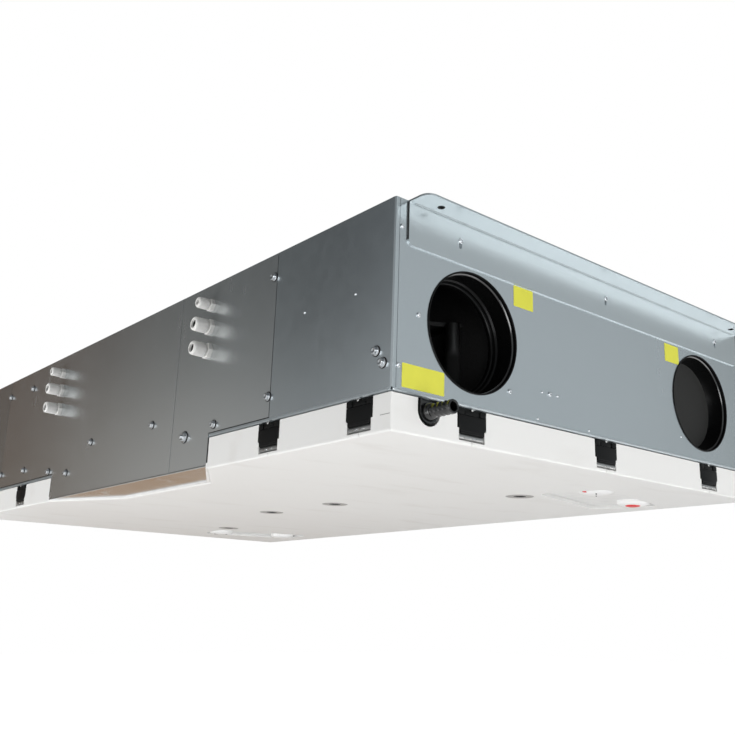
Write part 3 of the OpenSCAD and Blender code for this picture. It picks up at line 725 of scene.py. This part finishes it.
class AIRUNIT_OT_casing(Operator):
    """Finish casing, covers, control box and ceiling brackets, and add hems, lips, bushes and seals"""

    bl_idname = "air_unit.casing"
    bl_label = "Casing"

    # Spans and places along the left side, in millimetres from the corner at the drain
    FLAPS = ((423.4, 538.0), (540.4, 1034.6))
    LEFT_LIPS = ((6, 418.5), (1039.5, 1490))
    SEAM = 539.2
    BOX_ENDS = (421, 1037)
    # Half lengths of the lips on the other faces
    LIPS = {"front": 407, "rear": 407, "right": 742}
    # Fold along the casing's lower edge: its middle, out of the face and up it, and its radius
    FOLD = (-4.5, 52.5)
    FOLD_R = 4.5
    # Hanger holes: distance from the casing's sides and out from its ends
    HOLE_IN = 60 * MM
    HOLE_OUT = 18 * MM
    # Half lengths of the brackets' bend and leg
    BEND_END = 384
    LEG_END = 393.1

    def execute(self, context):
        look = context.scene.air_unit_sheet
        sheet = sheet_finish("galvanised_sheet", look.color, look.roughness)
        cover = sheet_finish("cover_sheet", look.cover_color, look.roughness)
        bracket = sheet_finish("bracket_sheet", look.bracket_color, look.bracket_roughness, 0.6, 0.95)
        clean = sheet_finish("end_sheet", look.color, look.roughness, 0.2)
        for node in ("top_panel", "left_side_wall"):
            dress(node, sheet, 0.2 * MM)
        for node in ("front_end_wall", "rear_end_wall", "right_side_wall"):
            dress(node, clean, 0.2 * MM)
        for node in ("gland_cover", "control_cover", "control_box"):
            dress(node, cover, 0.3 * MM)
        for node in ("front_ceiling_bracket", "rear_ceiling_bracket"):
            dress(node, bracket, 1.0 * MM, 3)
        self.hems(cover)
        self.lips(context)
        self.rubber_parts(context)
        self.bends(context)
        return {"FINISHED"}

    def hems(self, sheet):
        """Folded lower edges of the covers' flaps, and a dark grey backing behind the seam between them,
        painted shade in the seam.
        """
        section = [(-0.5, 3.4), (0.1, 3.2), (0.5, 3.6), (0.5, 5.8), (0.2, 6.2), (-0.5, 6.2)]
        hems = Shape()
        for start, end in self.FLAPS:
            hems.fold(left_at((start + end) / 2, 0), section, (end - start) / 2)
        hems.piece("flap_hems", sheet, "galvanised")
        backing = Shape()
        backing.block(left_at(self.SEAM, 0), (-0.8, 4.4, -1.3), (0.8, 296.0, -0.3))
        # Painted shade: the backing is much darker than the sheet, so that the seam shows as a dark gap
        grey = moulded_finish("seam_shade_grey", (0.3, 0.31, 0.31), 0.45, metal=1.0)
        backing.piece("cover_seam_backing", grey, "galvanised")

    def lips(self, context):
        """Dull, worn zinc round the fold along the casing's lower edge."""
        color = tinted(context.scene.air_unit_sheet.color, 0.84)
        worn = moulded_finish("lip_zinc", color, 0.5, 300.0, 0.02, 1.0)
        section = arc(self.FOLD, self.FOLD_R + 0.12, 4, -72, 8)
        section += arc(self.FOLD, self.FOLD_R - 0.1, -72, 4, 8)
        lips = Shape()
        for face, half in self.LIPS.items():
            lips.fold(on_face(face, 0, 0), section, half)
        for start, end in self.LEFT_LIPS:
            lips.fold(left_at((start + end) / 2, 0), section, (end - start) / 2)
        lips.piece("casing_lips", worn, "galvanised")

    def rubber_parts(self, context):
        """Dark bushes in the hanger holes, and dark rubber strips at the control box's ends, painted shade
        in the gaps there.
        """
        rubber = moulded_finish("grommet_rubber", context.scene.air_unit_fittings.black, 0.6, gloss=0.2)
        bushes = Shape()
        ring = [(3.0, -2.9), (2.8, -1.2), (3.0, 0.4), (4.8, 0.4), (5.0, 0.05), (4.4, 0.05)]
        ring += [(4.4, -2.55), (5.0, -2.55), (4.8, -2.9)]
        for x in (-HALF_W + self.HOLE_IN, HALF_W - self.HOLE_IN):
            for y in (-HALF_L - self.HOLE_OUT, HALF_L + self.HOLE_OUT):
                bushes.lathe(Matrix.Translation((x, y, TOP_Z)), ring, 32, closed=True)
        bushes.piece("hanger_bushes", rubber, "seal_rubber").visible_glossy = False
        strips = Shape()
        # Painted shade: dark strips fill the gaps at the box's ends
        for along in self.BOX_ENDS:
            strips.plate(left_at(along, 26), round_outline(3.7, 43, 1.2), -9, -0.4, 0.5)
        strips.piece("box_end_shade_strips", rubber, "seal_rubber")

    def bends(self, context):
        """Duller, darker strip inside the brackets' bend, painted shade in the crease, and the legs'
        near-black cut ends: cut steel is dull, and the rest is painted shadow of the gap beside them.
        """
        look = context.scene.air_unit_sheet
        # Painted shade: the bend strip is darker than the bracket, for the shade in the crease
        dull = moulded_finish("bend_shade_line", tinted(look.bracket_color, 0.76), 0.4, 300.0, 0.02, 1.0)
        # Partly painted shadow: near-black strips at the legs' side edges, for the gap beside them
        dark = moulded_finish("cut_edge_shade", (0.03, 0.031, 0.032), 0.6, 300.0, 0.02)
        lines, edge_shades = Shape(), Shape()
        line = [(2.4, 295.6), (2.4, 294.6), (5.4, 295.3), (5.4, 295.6)]
        for end in ("front", "rear"):
            lines.fold(on_face(end, 0, 0), line, self.BEND_END)
            for side in (-1, 1):
                low, high = side * self.LEG_END - 0.2, side * self.LEG_END + 0.2
                edge_shades.block(on_face(end, 0, 0), (low, 245.0, 0.05), (high, 296.0, 2.6))
        lines.piece("bracket_bend_shades", dull, "galvanised")
        edge_shades.piece("bracket_cut_end_shades", dark, "galvanised")


class AIRUNIT_OT_ducts(Operator):
    """Make the duct collars and finish the fan housings, the filters and the foam lining"""

    bl_idname = "air_unit.ducts"
    bl_label = "Ducts and lining"

    # Radii in millimetres: bore, outside, rim and stop; then the cone's length and the rim's rounding
    BORE = 80.0
    OUTER = 81.5
    RIM = 82.2
    STOP = 74.0
    CONE = 14.0
    ROUNDING = 0.7
    # The fan housing's drum is dull and darker, as painted shade, below the first height and glossy above
    # the second
    DRUM_SHADE_AND_GLOSS = (150 * MM, 168 * MM)

    def execute(self, context):
        look = context.scene.air_unit_fittings
        gloss = moulded_finish("duct_black", tinted(look.black, 0.6), 0.2, 500.0, 0.004, gloss=0.14)
        inner = fan_finish("fan_black", tinted(look.black, 2.2), *self.DRUM_SHADE_AND_GLOSS)
        foam = foam_finish("bead_foam", look.foam)
        felt = felt_finish("filter_felt", look.felt)
        for end in ("front", "rear"):
            for side in ("left", "right"):
                self.collar(f"{end}_{side}_collar", end, gloss, look.collar_sides)
            dress(f"{end}_fan_housing", inner, 2.0 * MM, 3)
            dress(f"{end}_filter", felt)
            for side in ("left", "center", "right"):
                dress(f"foam_{end}_{side}", foam)
        dress("foam_middle", foam)
        self.rims(look)
        return {"FINISHED"}

    def rims(self, look):
        """Polished step a little way inside each opening."""
        polish = moulded_finish("rim_black", look.black, 0.12, 500.0, 0.002, gloss=1.0)
        rims = Shape()
        wall = self.BORE + 0.3
        step = [(wall, -3.6), (79.1, -4.4), (78.4, -5.2), (78.4, -6.0), (wall, -7.2)]
        for end in ("front", "rear"):
            for side in ("left", "right"):
                low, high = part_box(f"{end}_{side}_collar")
                middle = (low + high) / 2
                rims.lathe(on_face(end, middle.x, middle.z), step, look.collar_sides, closed=True)
        rims.piece("collar_rims", polish, "duct_plastic", smooth=25)

    def collar(self, node, end, material, sides):
        """Bore with a thin rolled rim; a left one ends in two round beads, a right one in a smooth cone."""
        low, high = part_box(node)
        middle = (low + high) / 2
        proud = (-HALF_L - low.y if end == "front" else high.y - HALF_L) / MM
        back = proud - (high.y - low.y) / MM
        rim = self.ROUNDING
        profile = [(self.OUTER, back), (self.OUTER, 0.05), (self.RIM, 0.05)]
        profile += arc((self.RIM - rim, proud - rim), rim, 0, 90, 4)
        profile += arc((self.BORE + rim, proud - rim), rim, 90, 180, 4)
        if "left" in node:
            mid = (self.BORE + self.STOP) / 2
            wide = (self.BORE - self.STOP) / 2
            profile += [(self.BORE, back + 4 * wide)]
            profile += arc((self.BORE, back + 2.8 * wide), wide, 100, 200, 8)
            profile += arc((mid, back + wide), wide, 100, 200, 8)
        else:
            profile += [(self.BORE, back + self.CONE)]
        profile += [(self.STOP, back)]
        shape = Shape()
        shape.lathe(on_face(end, middle.x, middle.z), profile, sides, closed=True)
        shape.piece(f"{node}_lathed", material, "duct_plastic", (node,), 35)


class AIRUNIT_OT_lid(Operator):
    """Finish the lid with its seal, lock discs, filter hatches and marked knobs"""

    bl_idname = "air_unit.lid"
    bl_label = "Lid"

    # The front hatch in the lid's underside: its middle and turn; the rear one mirrors it
    HATCH = (239.0, 557.0, 14.0)
    KNOBS = ((-85.0, -29.0), (85.0, -29.0))
    SLOT_TURN = 23.0
    # Width, height and corner radius of the seat's wall, outside and inside
    SEAT_OUTER = (237.9, 125.9, 18.9)
    SEAT_INNER = (237.1, 125.1, 18.5)
    # Middles of the lock discs
    DISCS = ((-24.0, 84.5), (-24.0, -132.5), (103.0, 467.0), (114.0, -480.0))
    # Slits in the lid's edge: distance from its ends and height
    SLIT_IN = 10.5 * MM
    SLIT_UP = 21.2 * MM
    # Strip between the control box and the lid's cut-out, from the corner at the drain
    STRIP = (
        (0, 419), (82, 552), (82, 864), (0, 1039), (0, 1035.2), (78.2, 860), (78.2, 556), (0, 423.2),
    )

    def execute(self, context):
        look = context.scene.air_unit_lid
        coat = coat_finish("lid_coat", look.color, look.dirt, 0.42)
        hatch = moulded_finish("hatch_white", tinted(look.color, 0.97), 0.4, 1100.0, 0.01)
        # Painted light: the knobs' white is brighter than the lid's coat, for the light the raised knobs
        # catch
        knob = moulded_finish("knob_lit_white", tinted(look.color, 1.12), 0.35, 1100.0, 0.01)
        disc = moulded_finish("disc_grey", look.disc, 0.45)
        rubber = moulded_finish("seal_black", context.scene.air_unit_fittings.black, 0.7)
        dress("lid", coat, 0.6 * MM)
        dress("lid_seal", rubber)
        dress("lid_discs", disc, 0.6 * MM)
        for end in ("front", "rear"):
            dress(f"{end}_filter_hatch", hatch, 0.8 * MM)
            dress(f"{end}_hatch_knobs", knob, 1.2 * MM, 3)
        self.marks(look, knob, rubber)
        self.trims(knob, rubber, disc)
        return {"FINISHED"}

    def trims(self, white, rubber, grey):
        """White strip at the control box in the brighter knob white, a painted highlight along the lid's
        cut edge; grey slits at the lid's corners, painted shade; faces of the discs, and dark rings round
        their key holes, painted shade.
        """
        corner = Matrix.Translation((-HALF_W, -HALF_L, 0))
        strip, slits, rings, faces = Shape(), Shape(), Shape(), Shape()
        # Painted highlight: the strip in the brighter knob white stands for the lit rounded edge of the
        # lid's cut-out
        strip.plate(corner, self.STRIP, 9.0, 1.4)
        strip.piece("box_gap_highlight_strip", white, "white_coat")
        # Painted shade: thin grey plates stand for the dark inside the slits
        for face in ("left", "right"):
            for end in (-1, 1):
                place = on_face(face, end * (HALF_L - self.SLIT_IN), self.SLIT_UP)
                slits.plate(place, round_outline(18, 0.9, 0.4, 3), -0.3, 0.06)
        slits.piece("lid_corner_slit_shades", moulded_finish("slit_shade_grey", (0.3, 0.3, 0.29), 0.6))
        # Painted shade: dark rubber rings round the key holes widen their dark middles
        key_ring = [(6.3, 2.4), (6.3, 0.9), (10.8, 0.4), (10.8, 2.4)]
        face = [(10.9, 2.4), (10.9, 0.3), (12.0, 0.0), (23.4, 0.0), (24.7, 0.8), (24.7, 2.4)]
        for x, y in self.DISCS:
            place = Matrix.Translation((x * MM, y * MM, 0))
            rings.lathe(place, key_ring, 40, closed=True)
            faces.lathe(place, face, 64, closed=True)
        rings.piece("disc_key_shade_rings", rubber, "seal_rubber")
        faces.piece("disc_faces", grey, "disc_plastic")

    def marks(self, look, white, rubber):
        """Domed knob faces, a black slot in one of each hatch, painted shade in the slot, red marks in
        front, and walls of the hatch seats darker than the lid, painted shade in the recess.
        """
        # Painted shade: the seat walls are darker than the lid's coat
        pale = moulded_finish("reveal_shaded_white", tinted(look.color, 0.82), 0.5, 1100.0, 0.01)
        red = vinyl_finish("knob_mark_red", look.mark)
        plates, marks, slots, walls = Shape(), Shape(), Shape(), Shape()
        x, y, turn = self.HATCH
        face = [(0, -3.2), (9.0, -2.9), (17.0, -2.0), (23.5, -0.7), (27.5, 0.6), (29.2, 1.8), (29.6, 3.9)]
        button = [(0, -4.4), (8.0, -4.2), (12.5, -3.2), (14.5, -1.6), (14.5, 3.9)]
        mouth, reveal = round_outline(*self.SEAT_OUTER), round_outline(*self.SEAT_INNER)
        for flip in (1, -1):
            hatch = Matrix.Diagonal((1, flip, 1, 1)) @ Matrix.Translation((x * MM, -y * MM, 0))
            hatch = hatch @ Matrix.Rotation(math.radians(turn), 4, "Z")
            inner, outer = (hatch @ Matrix.Translation((kx * MM, ky * MM, 0)) for kx, ky in self.KNOBS)
            walls.ring(hatch, mouth, reveal, 6.9, 0.7)
            for knob in (inner, outer):
                plates.lathe(knob, face, 48)
            slot = Matrix.Rotation(math.radians(self.SLOT_TURN), 4, "Z")
            # Painted shade: a black plate stands for the dark inside the knob's slot
            slots.plate(inner @ slot, round_outline(34, 2.0, 0.9), 1.2, -3.0)
            if flip > 0:
                marks.lathe(outer @ Matrix.Translation((-4 * MM, 0, 0)), button, 32)
                edge = inner @ Matrix.Translation((-24 * MM, 9 * MM, 0))
                marks.plate(edge, round_outline(17, 5, 2.4), 3.9, -0.6)
        plates.piece("knob_faces", white, "white_coat")
        marks.piece("knob_marks", red)
        slots.piece("knob_slot_shades", rubber)
        walls.piece("hatch_reveals", pale, "white_coat")


class AIRUNIT_OT_latches(Operator):
    """Make the latches: black levers, zinc keepers, bent feet in darker, duller steel as painted shade with
    bright zinc blocks as painted highlights, and the linings of their pockets
    """

    bl_idname = "air_unit.latches"
    bl_label = "Latches"

    # Steps between the latches on the ends and on the right side, and their places on the left
    END_PITCH = 278.0
    PLAIN_PITCH = 293.0
    LEFT = (-689.0, -491.0, 449.0, 647.0)
    # Corners of a pocket's lining
    POCKET = ((-22.9, 5.1, -11.9), (22.9, 13.2, -3.4))
    # Middles across the foot of the two bright blocks, painted highlights
    HIGHLIGHT_TONGUES = (-8, 5)

    def execute(self, context):
        look = context.scene.air_unit_fittings
        black = moulded_finish("latch_black", tinted(look.black, 0.6), 0.42, gloss=0.16)
        # Keepers and feet are lit and shaded copies of one metal: the feet's darker, duller steel is
        # painted shade
        zinc = moulded_finish("latch_zinc", (0.74, 0.74, 0.73), 0.22, 500.0, 0.01, 1.0)
        steel = moulded_finish("latch_shaded_steel", (0.42, 0.42, 0.415), 0.38, 500.0, 0.01, 1.0)
        lining = moulded_finish("pocket_white", context.scene.air_unit_lid.color, 0.45, 1100.0, 0.01)
        ends = [i * self.END_PITCH for i in (-1, 0, 1)]
        plain = [i * self.PLAIN_PITCH for i in range(-2, 3)]
        rows = {"front": ends, "rear": ends, "left": self.LEFT, "right": plain}
        for side, row in rows.items():
            levers, metal, feet, linings = Shape(), Shape(), Shape(), Shape()
            for along in row:
                place = on_face(side, along * MM, 0)
                self.lever(levers, place)
                self.metal(metal, feet, place)
                linings.block(place, *self.POCKET, 0.8)
            levers.piece(f"{side}_latch_levers", black, "latch_plastic", (f"{side}_latches",))
            metal.piece(f"{side}_latch_metal", zinc, "keeper_steel", (f"{side}_latch_plates",))
            feet.piece(f"{side}_latch_feet", steel, "keeper_steel")
            linings.piece(f"{side}_pocket_linings", lining, "white_coat")
        return {"FINISHED"}

    def lever(self, shape, place):
        """Backing with a narrow lower end, raised panel, two ears, a block between and a finger rib."""
        back = [(-22, 14), (22, 14), (22, 19), (25, 22.2)]
        back += [(25, 47.2), (-25, 47.2), (-25, 22.2), (-22, 19)]
        shape.plate(place, back, -11.8, -0.6, 0.5)
        panel = [(-21, 15), (21, 15), (21, 19.4), (24.4, 22.8)]
        panel += [(24.4, 38), (-24.4, 38), (-24.4, 22.8), (-21, 19.4)]
        shape.plate(place, panel, -1.0, 1.5, 0.8, 3)
        for side in (-1, 1):
            low, high = sorted((side * 14.5, side * 24.6))
            shape.block(place, (low, 38.6, -1.4), (high, 46.8, 1.1), 0.8)
        shape.block(place, (-12, 38.8, -1.4), (12, 43.6, 0.4), 1.0)
        shape.fold(place, [(1.3, 17.3), (1.9, 17.4), (2.1, 17.8), (1.9, 18.2), (1.3, 18.3)], 20.5)

    def metal(self, shape, feet, place):
        """Keeper lug with a round stud, the bent foot, and two bright zinc blocks on the foot, painted
        highlights.
        """
        keeper = [(-4.3, 47.9), (2.1, 47.9), (2.5, 47.5), (2.5, 46.2)]
        keeper += [(1.5, 46.2), (1.5, 46.9), (-4.3, 46.9)]
        shape.fold(place, keeper, 3)
        stud = [(1.7, 0)] + arc((0.9, 0.8), 0.8, 0, 80, 4) + [(0, 1.7)]
        shape.lathe(place @ Matrix.Translation((-1 * MM, 45.8 * MM, 1.2 * MM)), stud, 20)
        foot = [(-2.6, 13.7), (-1.6, 13.7), (-0.9, 13.0), (-0.6, 12.0), (-0.6, 10.4), (-1.1, 8.8)]
        foot += [(-2.2, 7.3), (-4.2, 6.2), (-9.0, 5.6), (-9.0, 6.6), (-4.6, 7.2), (-3.0, 8.2)]
        foot += [(-2.2, 9.4), (-2.0, 11.4)]
        feet.fold(place, foot, 21.4)
        for x in self.HIGHLIGHT_TONGUES:
            shape.block(place, (x - 4.5, 8.6, -1.6), (x + 4.5, 10.8, 0.2), 0.6)


class AIRUNIT_OT_glands(Operator):
    """Make the cable glands: hexagon, dark neck, domed cap and the seal in its mouth"""

    bl_idname = "air_unit.glands"
    bl_label = "Cable glands"

    COLUMNS = {"front": -306.0, "rear": 288.0}
    # Height of each gland, radius of its cap and its length
    ROW = ((187.0, 11.5, 31.0), (226.0, 11.5, 31.0), (262.0, 9.0, 27.0))
    # Lengths of hexagon, neck, grip and bore
    HEX = 7.0
    NECK = 2.0
    GRIP = 6.0
    BORE = 22.0
    # How far neck and mouth lie inside the cap, and the rounding of its dome
    NECK_IN = 3.2
    MOUTH_WALL = 4.5
    DOME = 3.6
    FLUTES = 12

    def execute(self, context):
        look = context.scene.air_unit_fittings
        pale = moulded_finish("gland_pale", look.gland, 0.3, 1200.0, 0.008)
        rubber = moulded_finish("gland_seal", look.black, 0.6)
        seals = Shape()
        for end, along in self.COLUMNS.items():
            shape = Shape()
            for up, cap, length in self.ROW:
                place = on_face("left", along * MM, up * MM)
                self.gland(shape, place, cap, length, look.sides)
                mouth = cap - self.MOUTH_WALL
                ring = [(mouth - 0.1, length - 4), (mouth - 1.6, length - 4.6), (mouth - 1.6, length - 9)]
                seals.lathe(place, ring + [(mouth - 0.1, length - 9)], look.sides, closed=True)
            shape.piece(f"{end}_gland_bodies", pale, "gland_plastic", (f"{end}_cable_glands",), 32)
        seals.piece("gland_seals", rubber, "seal_rubber")
        return {"FINISHED"}

    def gland(self, shape, place, cap, length, sides):
        """Hexagon, narrow neck, and a domed cap with a fluted grip and a deep mouth."""
        hex_r = cap * 1.15
        neck = cap - self.NECK_IN
        mouth = cap - self.MOUTH_WALL
        start = self.HEX + self.NECK
        profile = [(0, 0.02), (hex_r * 0.99, 0.02), (hex_r, 0.6), (hex_r, self.HEX - 0.9)]
        profile += [(hex_r * 0.93, self.HEX)]
        profile += [(neck, self.HEX), (neck, start), (cap * 0.95, start), (cap, start + 0.8)]
        profile += [(cap, start + self.GRIP), (cap * 0.97, length - 5)]
        profile += arc((cap * 0.97 - self.DOME, length - self.DOME), self.DOME, 12, 90, 6)
        floor = length - self.BORE
        profile += [(mouth + 0.5, length), (mouth, length - 0.5), (mouth, floor), (0, floor)]

        def lobes(radius, height, angle):
            flat = math.cos(math.pi / 6) / math.cos((angle % (math.pi / 3)) - math.pi / 6)
            if height <= self.HEX and radius > neck:
                return radius * flat
            if start < height <= start + self.GRIP and radius > neck:
                return radius * (0.985 + 0.015 * math.cos(self.FLUTES * angle))
            return radius

        shape.lathe(place, profile, sides, lobes)


class AIRUNIT_OT_drain(Operator):
    """Make the drain housing and its ribbed hose barb"""

    bl_idname = "air_unit.drain"
    bl_label = "Drain"

    # Place on the front end; half width, top and wall of the housing
    ALONG = -352.0
    AXIS_UP = 32.5
    HALF = 15.0
    TOP = 47.9
    WALL = 3.0
    # Barb: length of its foot, and number and step of its ribs
    FOOT = 7.0
    RIBS = 5
    STEP = 7.2

    def execute(self, context):
        look = context.scene.air_unit_fittings
        black = moulded_finish("drain_black", tinted(look.black, 0.7), 0.12, 700.0, 0.003, gloss=0.8)
        shape = Shape()
        place = on_face("front", self.ALONG * MM, 0)
        outline = [(self.HALF, self.TOP), (-self.HALF, self.TOP)]
        outline += arc((0, self.AXIS_UP), self.HALF, 180, 360, 20)
        shape.plate(place, outline, -21.8, -5.0, 0.4)
        for side in (-1, 1):
            low, high = sorted((side * (self.HALF - self.WALL), side * self.HALF))
            shape.block(place, (low, self.AXIS_UP, -5.2), (high, self.TOP, 1.0), 0.6)
        shape.plate(place, self.bow(), -5.2, 1.0, 0.6)
        axis = place @ Matrix.Translation((0, self.AXIS_UP * MM, 0))
        shape.lathe(axis, self.barb(), look.sides)
        shape.piece("drain_fitting", black, "drain_plastic", ("drain_elbow",), 30)
        return {"FINISHED"}

    def bow(self):
        """Lower half of the housing's rim."""
        outer = arc((0, self.AXIS_UP), self.HALF, 180, 360, 24)
        return outer + arc((0, self.AXIS_UP), self.HALF - self.WALL, 360, 180, 24)

    def barb(self):
        """Flared foot, saw-tooth ribs and a thick mouth around the water way."""
        root, tip, bore = 7.2, 9.0, 6.0
        profile = [(11.4, -5.2), (11.2, 2.0), (10.2, 4.6), (8.6, 6.4), (root, self.FOOT)]
        for i in range(self.RIBS):
            start = self.FOOT + i * self.STEP
            profile += [(root, start + 1.6), (tip - 0.5, start + 1.9)]
            profile += [(tip, start + 2.6), (root + 0.1, start + 5.7)]
        end = self.FOOT + self.RIBS * self.STEP
        profile += [(tip - 0.3, end - 4.2), (tip - 0.1, end - 1.2), (tip - 0.8, end), (bore + 0.5, end)]
        profile += [(bore, end - 0.6), (bore, 0), (0, 0)]
        return profile


class AIRUNIT_OT_screws(Operator):
    """Make the casing's screws with their washers, a stud with its nut, and the rivets"""

    bl_idname = "air_unit.screws"
    bl_label = "Screws"

    # Places along a face and up it, in millimetres from the corner at the drain
    FRONT = ((11, 260), (9.6, 81), (41, 151), (206, 84), (288.6, 95), (815, 260), (815, 81))
    BRACKET = (110, 422, 734)
    BRACKET_UP = 269
    LEFT = (
        (266, 262), (264, 84.5), (409, 66), (613, 94), (860, 97), (964, 50), (1056, 62), (1200, 80),
        (1203, 259), (30, 102), (17, 85), (1340, 262), (1340, 84), (1480, 262), (1480, 84),
    )
    NUT = (497, 58)
    FRONT_RIVETS = ((272, 95), (305, 95), (262, 56), (374, 56.5), (615, 83))
    LEFT_RIVETS = ((75, 187), (186, 189))
    RIGHT = ((18, 262), (18, 84), (400, 272), (748, 272), (1096, 272), (1478, 262), (1478, 84))
    RIGHT_LOW = ((250, 66), (500, 66), (996, 66), (1246, 66))
    TOP = (100, 420, 748, 1076, 1396)
    TOP_IN = 14 * MM

    def execute(self, context):
        look = context.scene.air_unit_sheet
        zinc = moulded_finish("screw_zinc", (0.72, 0.74, 0.76), 0.2, 400.0, 0.01, 1.0)
        rubber = moulded_finish("washer_rubber", context.scene.air_unit_fittings.black, 0.6, gloss=0.3)
        pan, head = look.pan_radius / MM, look.hex_radius / MM
        heads, washers = Shape(), Shape()
        for x, z in self.FRONT:
            for place in self.both_ends(x, z):
                self.pan(heads, place, pan)
        for x in self.BRACKET:
            for place in self.both_ends(x, self.BRACKET_UP, BRACKET_T):
                self.pan(heads, place, pan * 1.2)
        hexes = [left_at(y, z) for y, z in self.LEFT]
        hexes += [on_face("right", -HALF_L + y * MM, z * MM) for y, z in self.RIGHT + self.RIGHT_LOW]
        for place in hexes:
            self.hex(heads, place, head)
            self.washer(washers, place, head * 1.16)
        self.nut(heads, left_at(*self.NUT), head * 1.45)
        self.washer(washers, left_at(*self.NUT), head * 1.6)
        for x, z in self.FRONT_RIVETS:
            self.rivet(heads, front_at(x, z), pan * 0.55)
        for y, z in self.LEFT_RIVETS:
            self.rivet(heads, left_at(y, z), pan * 0.6)
        for y in self.TOP:
            for x in (-HALF_W + self.TOP_IN, HALF_W - self.TOP_IN):
                self.pan(heads, Matrix.Translation((x, -HALF_L + y * MM, TOP_Z)), pan)
        heads.piece("casing_screws", zinc, "keeper_steel", smooth=32)
        washers.piece("screw_washers", rubber, "seal_rubber")
        return {"FINISHED"}

    def both_ends(self, x, z, out=0.0):
        """The same place on the front end and, turned about, on the rear end."""
        return front_at(x, z, out), on_face("rear", HALF_W - x * MM, z * MM, out)

    def washer(self, shape, place, radius):
        """Rubber washer that bulges a little from under the head."""
        profile = [(radius * 0.5, -0.3), (radius, -0.3)] + arc((radius - 0.5, 0.5), 0.5, 0, 90, 3)
        shape.lathe(place, profile + [(radius * 0.5, 1.1)], 28, closed=True)

    def pan(self, shape, place, radius):
        """Pan head with a six-lobe recess."""
        height = radius * 0.6
        bit = radius * 0.42
        profile = [(radius * 1.02, -0.4), (radius, 0)]
        profile += arc((radius * 0.62, height * 0.35), radius * 0.38, 0, 80, 5)
        profile += [(bit * 1.15, height), (bit, height * 0.93)]
        profile += [(bit * 0.9, height * 0.25), (0, height * 0.2)]

        def lobes(r, h, angle):
            return r * (1 + 0.14 * math.cos(6 * angle)) if r <= bit * 1.01 else r

        shape.lathe(place, profile, 36, lobes)

    def hex(self, shape, place, washer):
        """Hexagon head on a dished washer, with a shallow dimple on top."""
        nut = washer * 0.74
        profile = [(washer, 0.9), (washer, 1.3), (washer * 0.96, 1.6), (nut * 1.02, 1.9), (nut, 2.0)]
        profile += [(nut, 5.2), (nut * 0.9, 5.7), (nut * 0.62, 5.8), (nut * 0.5, 5.4), (0, 5.2)]

        def lobes(r, h, angle):
            if 1.95 <= h <= 5.3 and r > nut * 0.8:
                return r / math.cos((angle % (math.pi / 3)) - math.pi / 6) * 0.93
            return r

        shape.lathe(place, profile, 36, lobes)

    def nut(self, shape, place, washer):
        """Stud with a nut on a wide washer."""
        self.hex(shape, place, washer)
        stud = [(washer * 0.36, 5.0), (washer * 0.36, 8.2), (washer * 0.3, 9.0), (0, 9.1)]
        shape.lathe(place, stud, 24)

    def rivet(self, shape, place, radius):
        """Low domed head."""
        profile = [(radius * 1.05, -0.3)] + arc((0, 0), radius, 4, 80, 4) + [(0, radius)]
        shape.lathe(place, profile, 20)


class AIRUNIT_OT_stickers(Operator):
    """Make the plain yellow stickers on the front end"""

    bl_idname = "air_unit.stickers"
    bl_label = "Stickers"

    # Middle and size of each sticker, in millimetres from the corner at the drain
    PLACES = ((50.7, 70.5, 70, 30), (235.5, 222, 40, 30), (600.5, 219, 40, 30))

    def execute(self, context):
        film = vinyl_finish("sticker_film", context.scene.air_unit_fittings.sticker)
        stickers = Shape()
        for x, z, width, height in self.PLACES:
            stickers.plate(front_at(x, z), round_outline(width, height, 1.5), -0.1, 0.25)
        stickers.piece("front_stickers", film)
        return {"FINISHED"}


class AIRUNIT_PT_panel(Panel):
    """Lists the unit's settings and pieces"""

    bl_idname = "AIRUNIT_PT_panel"
    bl_label = "Air Handling Unit"
    bl_space_type = "VIEW_3D"
    bl_region_type = "UI"
    bl_category = "Air Unit"

    def draw(self, context):
        column = self.layout.column()
        for group in GROUPS:
            settings = getattr(context.scene, group)
            for name in settings.__annotations__:
                column.prop(settings, name)
        for piece in PIECES:
            column.operator(piece.bl_idname)


GROUPS = {
    "air_unit_sheet": AirUnitSheet,
    "air_unit_lid": AirUnitLid,
    "air_unit_fittings": AirUnitFittings,
    "air_unit_stage": AirUnitStage,
}
PIECES = (
    AIRUNIT_OT_stage,
    AIRUNIT_OT_casing,
    AIRUNIT_OT_ducts,
    AIRUNIT_OT_lid,
    AIRUNIT_OT_latches,
    AIRUNIT_OT_glands,
    AIRUNIT_OT_drain,
    AIRUNIT_OT_screws,
    AIRUNIT_OT_stickers,
)
CLASSES = (*GROUPS.values(), *PIECES, AIRUNIT_PT_panel)


def register():
    for made in CLASSES:
        bpy.utils.register_class(made)
    for name, group in GROUPS.items():
        setattr(bpy.types.Scene, name, PointerProperty(type=group))


def unregister():
    for name in GROUPS:
        delattr(bpy.types.Scene, name)
    for made in reversed(CLASSES):
        bpy.utils.unregister_class(made)


def main():
    register()
    for piece in PIECES:
        family, name = piece.bl_idname.split(".")
        getattr(getattr(bpy.ops, family), name)()


if __name__ == "__main__":
    main()
